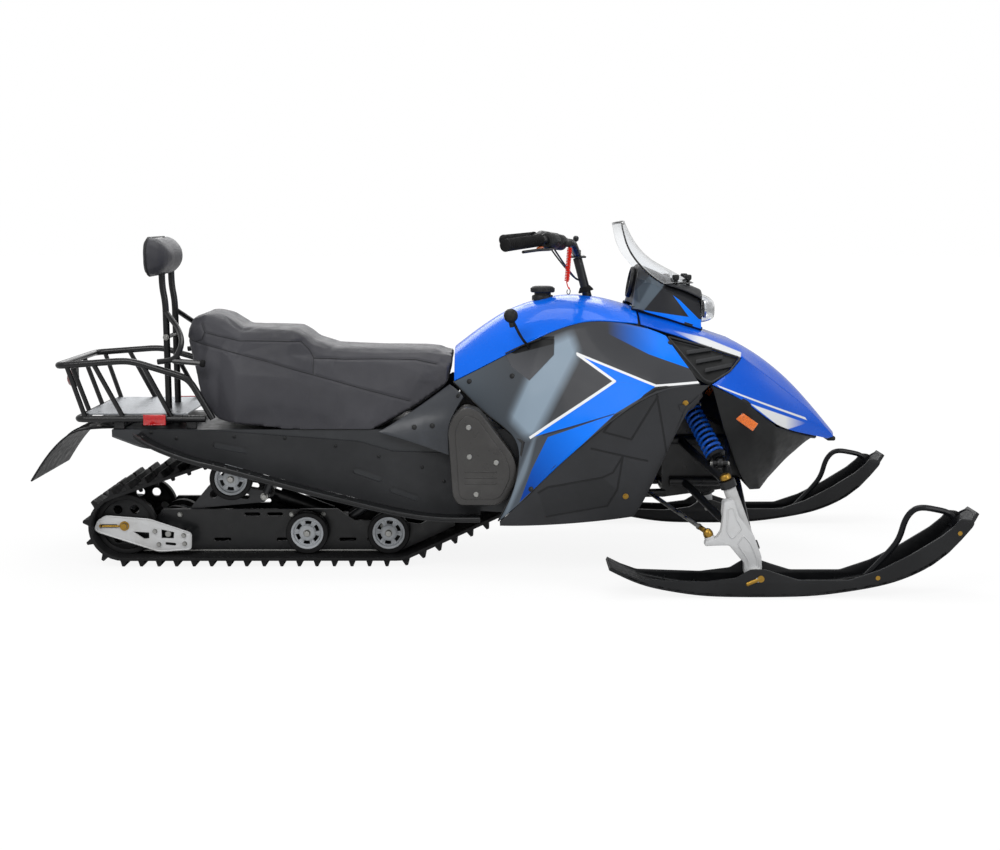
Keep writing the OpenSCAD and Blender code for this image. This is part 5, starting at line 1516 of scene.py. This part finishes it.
def make_spindle(side):
    """Casting on the kingpin with its ski knuckle, steering arm and sunk pockets."""
    web = plate([(624, 238), (650, 244), (664, 200), (704, 150), (726, 92), (729, 47), (705, 23), (681, 47),
                 (680, 74), (640, 122), (612, 122), (576, 120), (576, 133), (606, 142), (618, 160),
                 (622, 200)], -451.6, -425.4, edge=3, fillet=5)
    inner = plate([(624, 238), (650, 244), (664, 200), (690, 150), (640, 150), (622, 200)], -429.6, -405.4,
                  edge=3, fillet=5)
    pockets = [tube([(x, -452, z) for x, z in line], 4, bend=6, sides=8, closed=True) for line in (
        [(634, 222), (648, 224), (656, 196), (672, 168), (646, 140), (632, 160)],
        [(676, 150), (696, 128), (714, 86), (716, 58), (694, 58), (690, 84), (662, 126)])]
    pin = rod(PIN_LOW + 18 * KP, PIN_TOP, 34, 3, 32)
    knuckle = rod((705, -481.6, 47), (705, -438.4, 47), 45.4, 3, 36)
    boss = rod(TIE_OUT - 18 * KP, TIE_OUT, 27.6, 2, 28)
    stud = rod(PIN_LOW - 18 * KP, PIN_TOP + 24 * KP, 15.8, 2, 24)
    cap = turned([(0, 21), (12, 21), (15, 24), (15, 32), (12, 37), (7, 39), (0, 39.4)], PIN_TOP, KP)
    boot = turned([(8, -2.6), (14, -3), (16, -8), (13, -11), (17, -14), (14, -17), (12, -18), (8, -18)],
                  PIN_LOW, KP, 28)
    body = "spindle_" + side
    piece(body + "_casting", [(on_side(side, web, inner, pin, knuckle, boss, *pockets), WHITE_ALLOY),
                              (on_side(side, stud, cap), GOLD), (on_side(side, boot), GRIP_RUBBER)],
          body, [body])


def make_tie_rod(side):
    """Rod between two ball joints, with its lock nuts and sleeves."""
    outer = turned([(0, 0.4), (12, 0.4), (13, 3), (13, 10), (11, 15), (9, 19), (5, 21.6), (0, 22)], TIE_OUT,
                   KP, 28)
    inner = turned([(0, 0.4), (9.4, 0.4), (10.8, 4), (10.8, 20), (8, 24.6), (0, 25.6)], TIE_IN, COLUMN, 28)
    start, end = TIE_OUT + 11 * KP, TIE_IN + Vector((0, 0, 16))
    u = (end - start).normalized()
    shaft = rod(start + 8 * u, end - 8 * u, 11.6)
    nuts = [turned([(6, 0), (8.2, 0), (8.2, 9), (6, 9)], place, u, 6)
            for place in (start + 34 * u, end - 46 * u)]
    sleeves = [turned([(0, 0), (6.8, 0), (7, 2), (7, 20), (6, 22), (0, 22)], start + 10 * u, u, 20),
               turned([(0, 0), (6, 0), (7, 2), (7, 20), (6.8, 22), (0, 22)], end - 32 * u, u, 20)]
    body = "tie_rod_" + side
    piece(body + "_link",
          [(on_side(side, outer, inner, *sleeves), GOLD), (on_side(side, shaft, *nuts), STEEL)],
          body, [body])


def make_ski(side):
    """Blade with raised side walls, keel, stiffening ribs, and the loop at its tip."""
    under = [(322, 71), (400, 31), (480, 15), (557, 3), (640, 0), (820, 0), (900, 8), (1025, 28), (1095, 52),
             (1153, 81), (1195, 114), (1228, 150), (1256, 184), (1280, 214)]
    top = [(1240, 200), (1180, 163), (1102, 114), (1023, 73), (944, 46), (811, 46), (760, 62), (725, 74),
           (685, 74), (650, 52), (570, 42), (400, 48), (334, 72)]
    lean = [min(max((x - 1025) / 190, 0), 1) for x, z in under]
    wide = [1] * (len(under) - 2) + [0.94, 0.62]
    sole = skin([[(x - 7.6 * a, w * y - 460, z + 10 - 2 * a) for y in (-61, -40, -20, 20, 40, 61)]
                 for (x, z), a, w in zip(under, lean, wide)], 9.4, UP, level=2, sharp_rows=(13,))
    wall = [(x + 2, z + 3) for x, z in under[:-1]] + [(1262, 198), (1250, 206), (1224, 208),
                                                      (1212, 190)] + top[1:]
    walls = [plate(wall, y, y + 9, edge=2.4, fillet=6) for y in (-521, -408)]
    keel = tube([(430, -460, 22.5), (560, -460, 5), (640, -460, 4), (820, -460, 4), (900, -460, 11)], 7.6,
                bend=40, sides=8)
    ribs = [tube([(x, -514, z), (x + 26, -406, z + 3)], 6, bend=0, sides=8)
            for x, z in ((450, 28), (530, 18), (610, 14), (830, 14), (905, 20), (970, 28))]
    rails = [tube([(x, y, z + 12) for x, z in under[1:12]], 7, bend=50, sides=8) for y in (-484, -436)]
    lip = tube([(1254, -514, 197), (1268, -496, 211), (1272, -478, 214), (1272, -442, 214), (1268, -424, 211),
                (1254, -406, 197)], 11, bend=16)
    loop = tube([(1000, -460, 42), (1046, -460, 92), (1084, -460, 138), (1099, -460, 200), (1130, -460, 230),
                 (1222, -460, 212), (1231, -460, 172)], 16, bend=34, sides=16)
    cross = [tube([(x, -516, z), (x, -404, z)], d, bend=0) for x, z, d in ((1006, 34, 14), (1232, 168, 13))]
    pin = rod((705, -523, 47), (705, -397, 47), 13.6, 1, 24)
    rivets = [turned([(0, -1.6), (6, -1.6), (6, 0.2), (4, 0.5), (0, 0.5)], (x, -521.4, z), RIGHT, 18)
              for x, z in ((1016, 52), (1224, 170))]
    lever = [turned([(0, -2), (9, -2), (9, 1.6), (0, 2)], (712, -522, 50), RIGHT, 24),
             rod((674, -518.6, 34), (714, -518.6, 51), 12, 3, 16)]
    body = "ski_" + side
    piece(body + "_blade", [(on_side(side, sole, lip, *walls, *ribs, *rails), SKI_BLACK),
                            (on_side(side, loop, *cross), SHINY_BLACK), (on_side(side, keel, pin), STEEL),
                            (on_side(side, *lever, *rivets), GOLD)], body, [body])


def make_handlebar():
    bar = tube([(259.1, 0, 874.6), (255.1, -50, 876.6), (239.1, -110, 908.6), (212, -150, 908),
                (150, -262, 918), (52, -400, 906)], 22, bend=24, sides=20)
    piece("bar_tube", [(both_sides(bar), FRAME_BLACK)], "steering", ["handlebar"])
    start, end = Vector((142, -273, 917)), Vector((48, -406, 906))
    run = (end - start).length
    profile = [(11.4, 0), (17, 0), (17, 5), (15, 7)]
    h = 11.0
    while h < run - 16:
        profile += [(15, h), (16.6, h + 1.4), (16.6, h + 4.4), (15, h + 5.8)]
        h += 8
    profile += [(15, run - 9), (17, run - 7), (17, run - 2), (14, run), (0, run)]
    piece("ribbed_grips", [(both_sides(turned(profile, start, end - start, 28)), GRIP_RUBBER)], "steering",
          ["grips"])


def make_controls():
    """Switch housings, levers and cables of both hands, the bar clamp, and the tether's plug."""
    a = Vector((205, -163, 908.8))
    u = (Vector((160, -244, 916.4)) - a).normalized()
    housing = turned([(11.4, 0), (20, 0), (21.8, 3), (21.8, 36), (20.4, 38), (20.4, 42), (21.8, 44),
                      (21.8, 88), (19, 92), (11.4, 92.8)], a, u)
    switches = [rod(a + 20 * u + Vector((-8, -6, 15)), a + 20 * u + Vector((-12, -8, 21)), 9, 1, 16),
                rod(a + 62 * u + Vector((-8, -6, 15)), a + 62 * u + Vector((-12, -8, 20)), 12, 2, 16)]
    lever = tube([(190, -205, 900), (176, -238, 892), (140, -300, 892), (96, -370, 888)], 8, bend=20)
    amber = rod((150, -268, 897), (136, -292, 895), 9, 2, 16)
    plug = turned([(0, 0), (8, 0), (9, 2), (9, 16), (6, 20), (6, 24), (0, 24)], (214, -176, 906), FORWARD, 24)
    clamp = [block((236, -44, 863), (282, 44, 869)), tube([(246, -60, 884), (250, -64, 914)], 6, bend=0),
             rod((250, -64, 910), (252, -66, 926), 16, 4)]
    clamp += [turned([(0, 0), (9, 0), (9, 18), (7, 20), (0, 20)], (259, y, 866), UP, 20) for y in (-26, 26)]
    cable = tube([(186, -196, 890), (214, -150, 850), (250, -60, 806), (262, -24, 800)], 5, bend=60, sides=8)
    piece("bar_controls", [(pair(housing, cable, *switches), DEEP_PLASTIC), (both_sides(lever), FRAME_BLACK),
                           (amber, ORANGE_LENS), (plug, DEEP_PLASTIC), (several(clamp), FRAME_BLACK)],
          "steering", ["controls"])


def make_column():
    low = COLUMN_FOOT - 522 * COLUMN
    shaft = rod(low, COLUMN_FOOT + 100.3 * COLUMN, 26, 2, 28)
    arm = plate([(-88, 0), (0, 0), (0, 10), (-88, 10)], -26, 26, edge=1.6)
    arm.transform(Matrix.Translation(low * MM) @ Matrix.Rotation(radians(-15), 4, "Y"))
    boot = turned([(13, 12), (15, 12), (21, 2), (22, 0), (22, -3), (13, -3)], COLUMN_FOOT + 3 * COLUMN,
                  COLUMN)
    piece("steering_post", [(several([shaft, arm]), FRAME_BLACK), (boot, GRIP_RUBBER)], "steering",
          ["steering_column"])


make_springs()
for side in ("right", "left"):
    make_spindle(side)
    make_tie_rod(side)
    make_ski(side)
make_handlebar()
make_controls()
make_column()

make_stage()
